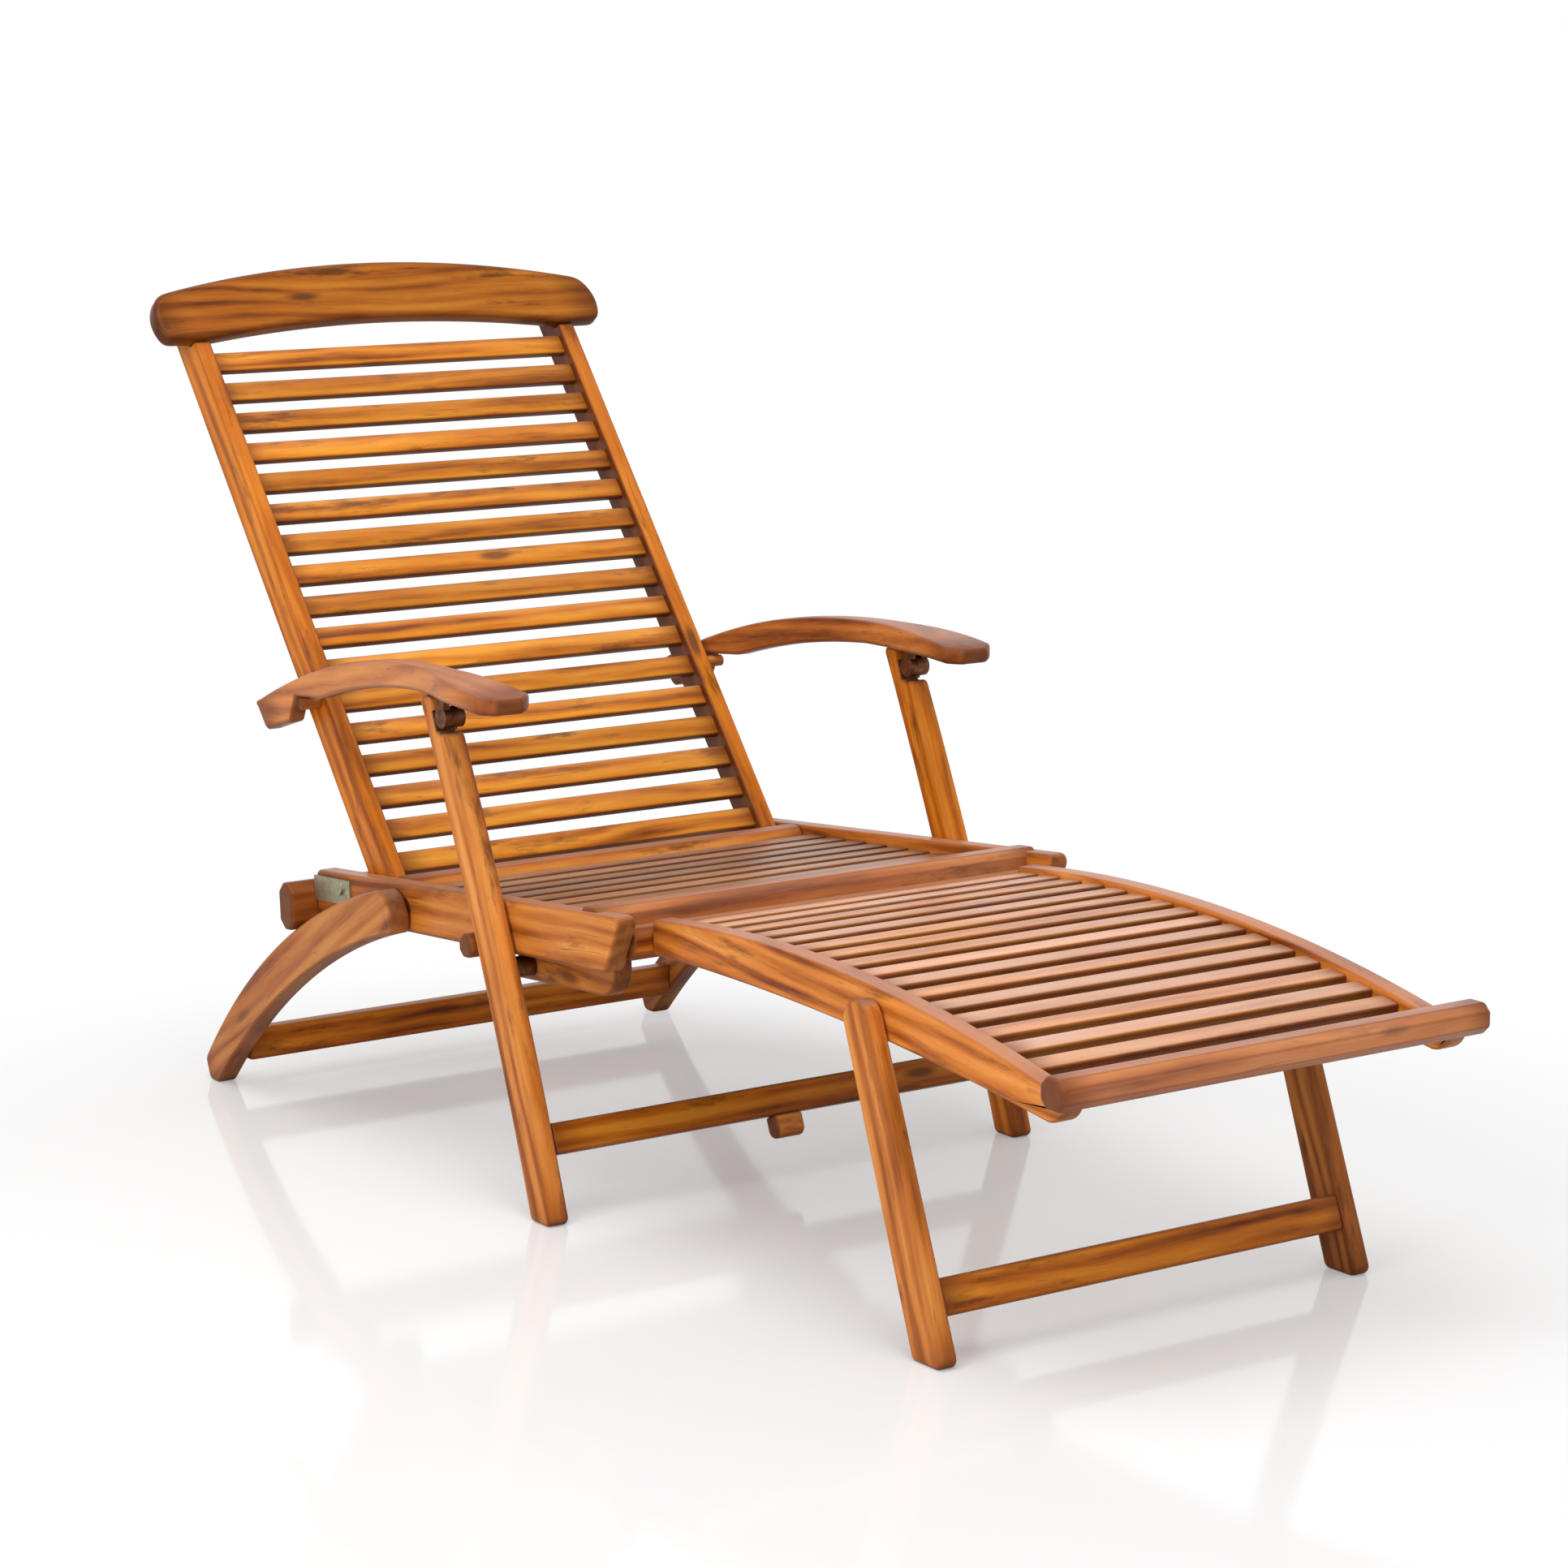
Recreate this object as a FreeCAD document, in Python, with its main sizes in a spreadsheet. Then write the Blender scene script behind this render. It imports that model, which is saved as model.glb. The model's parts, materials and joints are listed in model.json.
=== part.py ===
import FreeCAD
import Part
import Sketcher
import math
import os
from collections import namedtuple

# Folding slatted sun lounger. X runs from the head to the feet, Y to the sitter's left, Z up.
# The origin is on the floor, in the middle of the length and of the width.
# Lengths are in millimetres and angles in degrees.

SIZES = {
    # Layers across the width, from the middle outwards
    "rail_gap": 514.0,
    "rail_thick": 23.0,
    "leg_gap": 2.0,
    "leg_thick": 24.0,
    "hanger_thick": 22.0,
    "side_clear": 5.0,
    "stile_wide": 21.0,
    "rest_leg_out": 258.5,
    "rest_leg_thick": 20.0,
    "rest_leg_gap": 1.5,
    "rest_rail_thick": 23.0,
    "bar_end_clear": 0.5,
    "bar_overhang": 5.0,
    # Seat frame, along and below the rails' upper edges, from the seat's reference point
    "seat_height": 313.5,
    "seat_tilt": 4.2,
    "rail_depth": 49.0,
    "rail_rear": 514.0,
    "rail_front": 100.0,
    "rail_rake": 33.0,
    "rail_swell": 9.0,
    "seat_slat_wide": 27.0,
    "seat_slat_thick": 12.0,
    "seat_slat_recess": 6.0,
    "seat_slat_clear": 2.0,
    "front_rail_wide": 40.0,
    "front_rail_deep": 30.0,
    "front_rail_proud": 12.0,
    "front_rail_chamfer": 9.0,
    "front_rail_let_in": 17.0,
    "front_rail_clear": 2.5,
    "rear_bar_wide": 30.0,
    "rear_bar_deep": 52.0,
    "rear_bar_drop": 13.0,
    "rear_bar_chamfer": 10.0,
    "hanger_front": 48.0,
    "hanger_top": 32.0,
    "hanger_bottom": 79.0,
    "hanger_round": 26.0,
    # Back, about its hinge bar
    "back_axis_back": 370.0,
    "back_axis_drop": 15.0,
    "back_lean": 38.0,
    "back_bar": 34.0,
    "stile_deep": 40.0,
    "stile_foot": 20.0,
    "stile_top": 718.0,
    "back_slat_first": 35.0,
    "back_slat_pitch": 40.4,
    "back_slat_wide": 25.0,
    "back_slat_thick": 10.0,
    "back_slat_recess": 8.0,
    "crest_half": 293.0,
    "crest_lap": 32.0,
    "crest_thick": 21.0,
    "crest_proud": 8.0,
    "crest_end": 61.0,
    "crest_bulge": 28.0,
    "crest_rise": 94.0,
    "crest_hollow": 18.0,
    "crest_round": 15.0,
    "peg_height": 252.0,
    "peg_inset": 12.0,
    "peg_radius": 6.5,
    "peg_reach": 24.0,
    # Front legs, about their pivots
    "leg_axis_back": 107.9,
    "leg_axis_drop": 62.8,
    "leg_lean": 22.3,
    "leg_wide": 36.0,
    "leg_bow": 8.0,
    "stop_bar": 24.0,
    "stop_along": 33.0,
    "stop_gap": 0.3,
    "leg_stretcher_deep": 32.0,
    "leg_stretcher_thick": 20.0,
    "leg_stretcher_height": 78.0,
    "catch_wide": 34.0,
    "catch_deep": 24.0,
    "catch_straight": 12.0,
    # Arms, about the hinges on the front legs
    "arm_axis_along": 262.0,
    "arm_axis_inset": 2.0,
    "arm_under": 19.0,
    "arm_thick": 24.0,
    "arm_tip_thick": 16.0,
    "arm_flat_back": 60.0,
    "arm_flat_front": 58.0,
    "arm_dip_back": 190.0,
    "arm_dip_up": 3.0,
    "arm_past_peg": 99.0,
    "arm_front": 113.0,
    "arm_rear_wide": 22.0,
    "arm_waist_cover": 12.0,
    "arm_paddle_in": 22.0,
    "arm_paddle_out": 16.0,
    "arm_tip_drop": 3.0,
    "arm_crown_back": 95.0,
    "hook_clear": 1.2,
    "hook_lip": 30.0,
    "hook_slope": 13.0,
    "hook_mouth": 52.0,
    "hook_rise": 5.5,
    "arm_rear_drop": 17.2,
    "leg_top_clear": 0.6,
    "knuckle_radius": 11.0,
    "hinge_leaf": 2.5,
    "hinge_web": 6.6,
    "hinge_pin": 3.5,
    "knuckle_gap": 0.3,
    "rebate_clear": 4.0,
    # Rear legs
    "rear_leg_top_back": 322.0,
    "rear_leg_top_drop": 25.0,
    "rear_leg_deep": 50.0,
    "rear_leg_nose": 12.5,
    "rear_leg_bear_gap": 0.2,
    "rear_foot_back": 714.0,
    "rear_foot_flat": 20.0,
    "rear_heel_rise": 24.0,
    "rear_stretcher_deep": 36.0,
    "rear_stretcher_thick": 20.0,
    "rear_stretcher_set": 28.0,
    "rear_stretcher_height": 48.0,
    "plate_long": 78.0,
    "plate_deep": 27.0,
    "plate_drop": 6.0,
    "plate_bolt_in": 57.0,
    "plate_bolt_drop": 15.0,
    # Footrest, about its hinge bar
    "rest_axis_front": 72.0,
    "rest_axis_drop": 22.0,
    "rest_bar": 32.0,
    "rest_long": 674.0,
    "rest_rear_up": 24.8,
    "rest_rear_down": 10.0,
    "rest_front_drop": 15.0,
    "rest_bow": 27.0,
    "rest_toe_drop": 43.0,
    "rest_toe_back": 28.0,
    "rest_toe_curl": 7.0,
    "rest_belly": 12.0,
    "rest_front_bar_wide": 34.0,
    "rest_front_bar_deep": 30.0,
    "rest_front_bar_chamfer": 8.0,
    "rest_front_bar_proud": 14.5,
    "rest_front_bar_drop": 12.0,
    "rest_slat_wide": 24.0,
    "rest_slat_thick": 12.0,
    "rest_slat_recess": 5.0,
    "rest_leg_along": 382.0,
    "rest_leg_drop": 3.0,
    "rest_leg_lean": 20.8,
    "rest_leg_head": 38.0,
    "rest_leg_foot": 44.0,
    "rest_leg_shoulder": 2.0,
    "rest_stretcher_deep": 35.0,
    "rest_stretcher_thick": 20.0,
    "rest_stretcher_height": 54.0,
    # Bolts and fits
    "bolt_radius": 5.0,
    "stud_radius": 6.0,
    "spacer_radius": 11.0,
    "washer_radius": 13.0,
    "head_radius": 8.0,
    "head_thick": 3.0,
    "blind_wall": 4.0,
    "pivot_bite": 26.0,
    "pivot_clear": 0.1,
}

SEAT_SLATS = 9
BACK_SLATS = 17
REST_SLATS = 17
SIDES = (("left", 1), ("right", -1))

# The arm's shape from above, as shares: where its waist is in leg widths behind the hinge,
# and how far each sweep has gone at the middle of its curve.
WAIST_BACK = 0.6
SWEEP_IN = 0.3
SWEEP_OUT = 0.25
FLARE_AT = 0.4
FLARE_IN = 0.65
FLARE_OUT = 0.85

doc = FreeCAD.newDocument("SunLounger")
sheet = doc.addObject("Spreadsheet::Sheet", "Sizes")
cells = []
nodes = []

Bend = namedtuple("Bend", "x z")


class Size:
    """A number and the sheet formula that gives it."""

    def __init__(self, value, formula):
        self.value = value
        self.formula = formula

    def __add__(self, other):
        other = size_of(other)
        return Size(self.value + other.value, f"({self.formula} + {other.formula})")

    def __sub__(self, other):
        other = size_of(other)
        return Size(self.value - other.value, f"({self.formula} - {other.formula})")

    def __mul__(self, other):
        other = size_of(other)
        return Size(self.value * other.value, f"({self.formula} * {other.formula})")

    def __truediv__(self, other):
        other = size_of(other)
        return Size(self.value / other.value, f"({self.formula} / {other.formula})")

    def __neg__(self):
        return Size(-self.value, f"(-1 * {self.formula})")


def size_of(thing):
    """The thing itself if it is a Size, or else a plain number as one."""
    if isinstance(thing, Size):
        return thing
    return Size(float(thing), str(float(thing)))


def sine(angle):
    return Size(math.sin(math.radians(angle.value)), f"sin({angle.formula})")


def cosine(angle):
    return Size(math.cos(math.radians(angle.value)), f"cos({angle.formula})")


def root(size):
    return Size(math.sqrt(size.value), f"sqrt({size.formula})")


def add_cell(alias, text):
    """Write one cell of the sheet, under a name of its own."""
    cells.append(alias)
    row = len(cells)
    sheet.set(f"A{row}", alias)
    sheet.set(f"B{row}", text)
    sheet.setAlias(f"B{row}", alias)


def driving(alias):
    """A driving dimension, as its cell gives it."""
    return Size(SIZES[alias], f"Sizes.{alias}")


def derived(alias, size):
    """A size worked out from others, kept in a cell of its own."""
    add_cell(alias, "=" + size.formula.replace("Sizes.", ""))
    return Size(size.value, f"Sizes.{alias}")


class Frame:
    """A place in the middle plane, turned about Y, that pieces are drawn in."""

    def __init__(self, name, x, z, pitch):
        self.x = derived(f"{name}_x", x)
        self.z = derived(f"{name}_z", z)
        self.pitch = derived(f"{name}_pitch", pitch)
        self.cos = derived(f"{name}_cos", cosine(self.pitch))
        self.sin = derived(f"{name}_sin", sine(self.pitch))

    def point(self, x, z):
        """Where a point of this frame lies in the object's frame."""
        x = size_of(x)
        z = size_of(z)
        return self.x + x * self.cos + z * self.sin, self.z - x * self.sin + z * self.cos

    def local(self, x, z):
        """Where a point of the object's frame lies in this frame."""
        along = x - self.x
        up = z - self.z
        return along * self.cos - up * self.sin, along * self.sin + up * self.cos

    def place(self, item, x=0, y=0, z=0):
        """Put an item's own origin at a point of this frame, turned with it."""
        item.Placement = FreeCAD.Placement(
            FreeCAD.Vector(0, 0, 0), FreeCAD.Rotation(FreeCAD.Vector(0, 1, 0), 1)
        )
        base_x, base_z = self.point(x, z)
        item.setExpression("Placement.Base.x", base_x.formula)
        item.setExpression("Placement.Base.y", size_of(y).formula)
        item.setExpression("Placement.Base.z", base_z.formula)
        item.setExpression("Placement.Rotation.Angle", self.pitch.formula)


def keep(item):
    """List an item as a finished piece of the lounger."""
    nodes.append(item)
    return item


def vector(point):
    return FreeCAD.Vector(size_of(point[0]).value, size_of(point[1]).value, 0)


def hold(sketch, geometry, end, point, name):
    """Tie one point of a sketch to the sizes that give it."""
    for kind, axis, size in (("DistanceX", "across", point[0]), ("DistanceY", "up", point[1])):
        size = size_of(size)
        index = sketch.addConstraint(Sketcher.Constraint(kind, geometry, end, size.value))
        sketch.renameConstraint(index, f"{name}_{axis}")
        sketch.setExpression(f"Constraints.{name}_{axis}", size.formula)


def draw_outline(sketch, outline):
    """Draw a closed outline; a Bend between two corners makes their edge an arc through it."""
    corners = []
    bends = {}
    for point in outline:
        if isinstance(point, Bend):
            bends[len(corners) - 1] = point
        else:
            corners.append(point)
    ends = []
    for index, corner in enumerate(corners):
        first = vector(corner)
        last = vector(corners[(index + 1) % len(corners)])
        if index in bends:
            edge = sketch.addGeometry(Part.Arc(first, vector(bends[index]), last))
            start_off = sketch.getPoint(edge, 1).distanceToPoint(first)
            finish_off = sketch.getPoint(edge, 2).distanceToPoint(first)
            ends.append((edge, 1, 2) if start_off < finish_off else (edge, 2, 1))
        else:
            edge = sketch.addGeometry(Part.LineSegment(first, last))
            ends.append((edge, 1, 2))
    for index, (edge, start, _) in enumerate(ends):
        before, _, finish = ends[index - 1]
        sketch.addConstraint(Sketcher.Constraint("Coincident", before, finish, edge, start))
        hold(sketch, edge, start, corners[index], f"corner_{index}")
    for index, bend in bends.items():
        mark = sketch.addGeometry(Part.Point(vector(bend)), True)
        hold(sketch, mark, 1, bend, f"bend_{index}")
        sketch.addConstraint(Sketcher.Constraint("PointOnObject", mark, 1, ends[index][0]))


def draw_hole(sketch, number, x, z, radius):
    """Draw a round hole that goes right through the plank."""
    circle = Part.Circle(vector((x, z)), FreeCAD.Vector(0, 0, 1), radius.value)
    edge = sketch.addGeometry(circle)
    hold(sketch, edge, 3, (x, z), f"hole_{number}")
    index = sketch.addConstraint(Sketcher.Constraint("Radius", edge, radius.value))
    sketch.renameConstraint(index, f"hole_{number}_radius")
    sketch.setExpression(f"Constraints.hole_{number}_radius", radius.formula)


def plank(label, frame, outline, low, high, holes=(), plane="XZ_Plane"):
    """A flat piece: an outline in one plane of a frame, from low to high across that plane."""
    body = doc.addObject("PartDesign::Body", label)
    sketch = body.newObject("Sketcher::SketchObject", f"{label}_outline")
    support = [item for item in body.Origin.OriginFeatures if item.Role == plane]
    sketch.AttachmentSupport = (support[0], "")
    sketch.MapMode = "FlatFace"
    low = size_of(low)
    high = size_of(high)
    offset = -high if plane == "XZ_Plane" else low
    sketch.setExpression("AttachmentOffset.Base.z", offset.formula)
    draw_outline(sketch, outline)
    for number, (x, z, radius) in enumerate(holes):
        draw_hole(sketch, number, x, z, radius)
    pad = body.newObject("PartDesign::Pad", f"{label}_pad")
    pad.Profile = sketch
    pad.setExpression("Length", (high - low).formula)
    sketch.Visibility = False
    frame.place(body)
    return body


def board(label, frame, x, y, z):
    """A plain board, from low to high along each axis of a frame."""
    box = doc.addObject("Part::Box", label)
    box.setExpression("Length", (x[1] - x[0]).formula)
    box.setExpression("Width", (y[1] - y[0]).formula)
    box.setExpression("Height", (z[1] - z[0]).formula)
    frame.place(box, x[0], y[0], z[0])
    return box


def rod(label, frame, x, z, radius, low, high):
    """A round rod across the lounger, along Y."""
    cylinder = doc.addObject("Part::Cylinder", label)
    cylinder.setExpression("Radius", radius.formula)
    cylinder.setExpression("Height", (high - low).formula)
    cylinder.Placement = FreeCAD.Placement(
        FreeCAD.Vector(0, 0, 0), FreeCAD.Rotation(FreeCAD.Vector(1, 0, 0), -90)
    )
    base_x, base_z = frame.point(x, z)
    cylinder.setExpression("Placement.Base.x", base_x.formula)
    cylinder.setExpression("Placement.Base.y", size_of(low).formula)
    cylinder.setExpression("Placement.Base.z", base_z.formula)
    return cylinder


def cut(label, base, tool):
    result = doc.addObject("Part::Cut", label)
    result.Base = base
    result.Tool = tool
    return result


def fuse(label, pieces):
    result = doc.addObject("Part::MultiFuse", label)
    result.Shapes = pieces
    return result


def group(label, pieces):
    """Several like pieces as one node of separate solids."""
    result = doc.addObject("Part::Compound", label)
    result.Links = pieces
    return result


def between(first, second, share):
    """A size that lies a share of the way from the first to the second."""
    return first + (second - first) * share


def across(sign, inner, outer):
    """The low and high Y of a layer on one side."""
    if sign > 0:
        return size_of(inner), size_of(outer)
    return -size_of(outer), -size_of(inner)


def chamfered(x, z, wide, deep, chamfer):
    """The outline of a bar with eight sides about a middle."""
    half_wide = wide / 2
    half_deep = deep / 2
    return [
        (x - half_wide + chamfer, z - half_deep),
        (x + half_wide - chamfer, z - half_deep),
        (x + half_wide, z - half_deep + chamfer),
        (x + half_wide, z + half_deep - chamfer),
        (x + half_wide - chamfer, z + half_deep),
        (x - half_wide + chamfer, z + half_deep),
        (x - half_wide, z + half_deep - chamfer),
        (x - half_wide, z - half_deep + chamfer),
    ]


def octagon(x, z, flats):
    """The outline of a regular eight-sided bar, flats apart."""
    return chamfered(x, z, flats, flats, flats * (1 - math.sqrt(0.5)))


def octagon_reach(flats):
    """How far the corners of a regular eight-sided bar are from its axis."""
    return flats * (0.5 / math.cos(math.pi / 8))


# Sizes and frames that the pieces share

for name, number in SIZES.items():
    add_cell(name, str(number))
S = namedtuple("Driving", SIZES)(*[driving(name) for name in SIZES])
zero = size_of(0)

rail_in = derived("rail_in", S.rail_gap / 2)
rail_out = derived("rail_out", rail_in + S.rail_thick)
leg_in = derived("leg_in", rail_out + S.leg_gap)
leg_out = derived("leg_out", leg_in + S.leg_thick)
inner_out = derived("inner_out", rail_in - S.side_clear)
stile_in = derived("stile_in", inner_out - S.stile_wide)
rest_leg_in = derived("rest_leg_in", S.rest_leg_out - S.rest_leg_thick)
rest_rail_out = derived("rest_rail_out", rest_leg_in - S.rest_leg_gap)
rest_rail_in = derived("rest_rail_in", rest_rail_out - S.rest_rail_thick)
bar_half = derived("bar_half", rail_in - S.bar_end_clear)
pivot_hole = derived("pivot_hole", S.bolt_radius + S.pivot_clear)
stud_hole = derived("stud_hole", S.stud_radius + S.pivot_clear)

# The back's hinge bar lies against the stiles' front faces, so the folded back clears the seat.
stile_front = derived("stile_front", -S.back_bar / 2)
stile_back = derived("stile_back", stile_front - S.stile_deep)
crest_front = derived("crest_front", stile_front + S.crest_proud)
crest_back = derived("crest_back", crest_front - S.crest_thick)
crest_top = derived("crest_top", S.stile_top + S.crest_rise)

# The reference point of the seat is set so that the head and the toe are equally far from the origin.
tilt_cos = cosine(S.seat_tilt)
tilt_sin = sine(S.seat_tilt)
head_reach = (
    S.back_axis_back * tilt_cos
    - S.back_axis_drop * tilt_sin
    - crest_back * cosine(S.back_lean)
    + crest_top * sine(S.back_lean)
)
toe_reach = S.rest_axis_front * tilt_cos + S.rest_axis_drop * tilt_sin + S.rest_long
datum = derived("datum", (head_reach - toe_reach) / 2)

seat = Frame("seat", datum, S.seat_height, -S.seat_tilt)
floor = Frame("floor", datum, zero, zero)
back = Frame("back", *seat.point(-S.back_axis_back, -S.back_axis_drop), -S.back_lean)
leg = Frame("leg", *seat.point(-S.leg_axis_back, -S.leg_axis_drop), -S.leg_lean)
leg_half = derived("leg_half", S.leg_wide / 2)
arm_axis_x = derived("arm_axis_x", leg_half - S.leg_bow - S.arm_axis_inset)
arm = Frame("arm", *leg.point(arm_axis_x, S.arm_axis_along), zero)
rest = Frame("rest", *seat.point(S.rest_axis_front, -S.rest_axis_drop), zero)
rest_leg = Frame("rest_leg", *rest.point(S.rest_leg_along, -S.rest_leg_drop), -S.rest_leg_lean)

front_rail_front = derived(
    "front_rail_front", S.rest_axis_front - octagon_reach(S.rest_bar) - S.front_rail_clear
)
front_rail_rear = derived("front_rail_rear", front_rail_front - S.front_rail_wide)
front_rail_base = derived("front_rail_base", S.front_rail_proud - S.front_rail_deep)
front_rail_half = derived("front_rail_half", rail_in + S.front_rail_let_in)
stop_reach = leg_half + S.stop_gap + octagon_reach(S.stop_bar)
stop_local_x, stop_local_z = seat.local(*leg.point(-stop_reach, S.stop_along))
stop_x = derived("stop_x", stop_local_x)
stop_z = derived("stop_z", stop_local_z)
back_pivot = (-S.back_axis_back, -S.back_axis_drop)
rest_pivot = (S.rest_axis_front, -S.rest_axis_drop)
notch = derived("notch", S.stop_bar / 2 + S.pivot_clear)
tenon_front = derived(
    "tenon_front", arm_axis_x - S.knuckle_radius - S.hinge_leaf - S.knuckle_gap
)
plate_bolt_x = derived("plate_bolt_x", S.plate_bolt_in - S.rail_rear)


def level_cut(frame, x, height):
    """Where a line along a frame's Z, at x, meets a height above the floor."""
    return (height - frame.z + x * frame.sin) / frame.cos


# Seat frame


def make_seat_rails():
    outline = [
        (-S.rail_rear, zero),
        (S.rail_front, S.rail_swell),
        (S.rail_front - S.rail_rake, -S.rail_depth),
        (stop_x + notch, -S.rail_depth),
        (stop_x + notch, stop_z + notch),
        (stop_x - notch, stop_z + notch),
        (stop_x - notch, -S.rail_depth),
        (-S.rail_rear, -S.rail_depth),
    ]
    holes = [
        (-S.rear_leg_top_back, -S.rear_leg_top_drop, pivot_hole),
        (plate_bolt_x, -S.plate_bolt_drop, pivot_hole),
    ]
    for side, sign in SIDES:
        low, high = across(sign, rail_in, rail_out)
        rail = plank(f"seat_rail_{side}_sawn", seat, outline, low, high, holes)
        low, high = across(sign, rail_in, rail_out - S.blind_wall)
        pivots = [
            rod(f"seat_rail_{side}_back_pivot", seat, *back_pivot, pivot_hole, low, high),
            rod(f"seat_rail_{side}_rest_pivot", seat, *rest_pivot, pivot_hole, low, high),
        ]
        for number, pivot in enumerate(pivots):
            rail = cut(f"seat_rail_{side}_bored_{number}", rail, pivot)
        housing = board(
            f"seat_rail_{side}_housing",
            seat,
            (front_rail_rear, front_rail_front),
            across(sign, rail_in, front_rail_half),
            (front_rail_base, S.front_rail_proud),
        )
        keep(cut(f"seat_rail_{side}", rail, housing))


def make_seat_cross_pieces():
    front = front_rail_front
    rear = front_rail_rear
    brow = S.front_rail_proud - S.front_rail_chamfer
    front_outline = [
        (rear, front_rail_base),
        (front, front_rail_base),
        (front, brow),
        (front - S.front_rail_chamfer, S.front_rail_proud),
        (rear + S.front_rail_chamfer, S.front_rail_proud),
        (rear, brow),
    ]
    keep(plank("seat_front_rail", seat, front_outline, -front_rail_half, front_rail_half))
    top = -S.seat_slat_recess
    start = octagon_reach(S.back_bar) + S.seat_slat_clear - S.back_axis_back
    gap = (rear - start - S.seat_slat_wide * SEAT_SLATS) / (SEAT_SLATS + 1)
    slats = []
    for number in range(SEAT_SLATS):
        low = start + gap + (S.seat_slat_wide + gap) * number
        slats.append(
            board(
                f"seat_slat_{number + 1}",
                seat,
                (low, low + S.seat_slat_wide),
                (-rail_in, rail_in),
                (top - S.seat_slat_thick, top),
            )
        )
    keep(group("seat_slats", slats))
    rear_middle = -S.rail_rear - S.rear_bar_wide / 2
    rear_height = -S.rear_bar_drop - S.rear_bar_deep / 2
    rear_outline = chamfered(rear_middle, rear_height, S.rear_bar_wide, S.rear_bar_deep, S.rear_bar_chamfer)
    rear_half = leg_out + S.bar_overhang
    keep(plank("rear_bar", seat, rear_outline, -rear_half, rear_half))
    keep(plank("stop_bar", seat, octagon(stop_x, stop_z, S.stop_bar), -rear_half, rear_half))


def make_leg_hangers():
    round_off = S.hanger_round * (1 - math.sqrt(0.5))
    rear = stop_x + notch
    outline = [
        (rear, -S.hanger_bottom),
        (S.hanger_front - S.hanger_round, -S.hanger_bottom),
        Bend(S.hanger_front - round_off, -S.hanger_bottom + round_off),
        (S.hanger_front, -S.hanger_bottom + S.hanger_round),
        (S.hanger_front, -S.hanger_top),
        (rear, -S.hanger_top),
    ]
    hole = (-S.leg_axis_back, -S.leg_axis_drop, stud_hole)
    for side, sign in SIDES:
        low, high = across(sign, rail_in - S.hanger_thick, rail_in)
        keep(plank(f"leg_hanger_{side}", seat, outline, low, high, [hole]))


def make_seat_bolts():
    back_bolts = []
    rest_bolts = []
    studs = []
    spacers = []
    for side, sign in SIDES:
        low, high = across(sign, bar_half - S.pivot_bite, rail_out - S.blind_wall)
        back_bolts.append(rod(f"back_bolt_{side}", seat, *back_pivot, S.bolt_radius, low, high))
        rest_bolts.append(rod(f"rest_bolt_{side}", seat, *rest_pivot, S.bolt_radius, low, high))
        low, high = across(sign, rail_in - S.hanger_thick, leg_out - S.blind_wall)
        studs.append(rod(f"leg_stud_{side}", leg, zero, zero, S.stud_radius, low, high))
        low, high = across(sign, rail_in, leg_in - S.knuckle_gap)
        sleeve = rod(f"leg_spacer_{side}_sleeve", leg, zero, zero, S.spacer_radius, low, high)
        bore = rod(f"leg_spacer_{side}_bore", leg, zero, zero, stud_hole, low, high)
        spacers.append(cut(f"leg_spacer_{side}", sleeve, bore))
    keep(group("back_hinge_bolts", back_bolts))
    keep(group("footrest_hinge_bolts", rest_bolts))
    keep(group("front_leg_studs", studs))
    keep(group("front_leg_spacers", spacers))


# Rear legs, fixed to the outsides of the seat rails


def rear_leg_outline():
    """A bowed leg from the middle of the seat rail, under the rear bar, to the floor behind it."""
    top_x, top_z = floor.local(*seat.point(-S.rear_leg_top_back, -S.rear_leg_top_drop))
    foot_x = -S.rear_foot_back - S.rear_foot_flat / 2
    foot_z = S.rear_heel_rise / 2
    run = top_x - foot_x
    rise = top_z - foot_z
    length = derived("rear_leg_chord", root(run * run + rise * rise))
    along_x = derived("rear_leg_along_x", run / length)
    along_z = derived("rear_leg_along_z", rise / length)
    # The leg's upper edge bears on the lower front corner of the rear bar.
    corner = (-S.rail_rear - S.rear_bar_chamfer, -S.rear_bar_drop - S.rear_bar_deep)
    bear_x, bear_z = floor.local(*seat.point(*corner))
    upper = S.rear_leg_bear_gap
    lower = upper + S.rear_leg_deep
    half = S.rear_leg_deep / 2
    return [
        (foot_x, zero),
        (foot_x + S.rear_foot_flat, zero),
        Bend(bear_x + along_z * lower, bear_z - along_x * lower),
        (top_x + along_z * half, top_z - along_x * half),
        Bend(top_x + along_x * S.rear_leg_nose, top_z + along_z * S.rear_leg_nose),
        (top_x - along_z * half, top_z + along_x * half),
        Bend(bear_x + along_z * upper, bear_z - along_x * upper),
        (-S.rear_foot_back - S.rear_foot_flat, S.rear_heel_rise),
    ]


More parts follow.
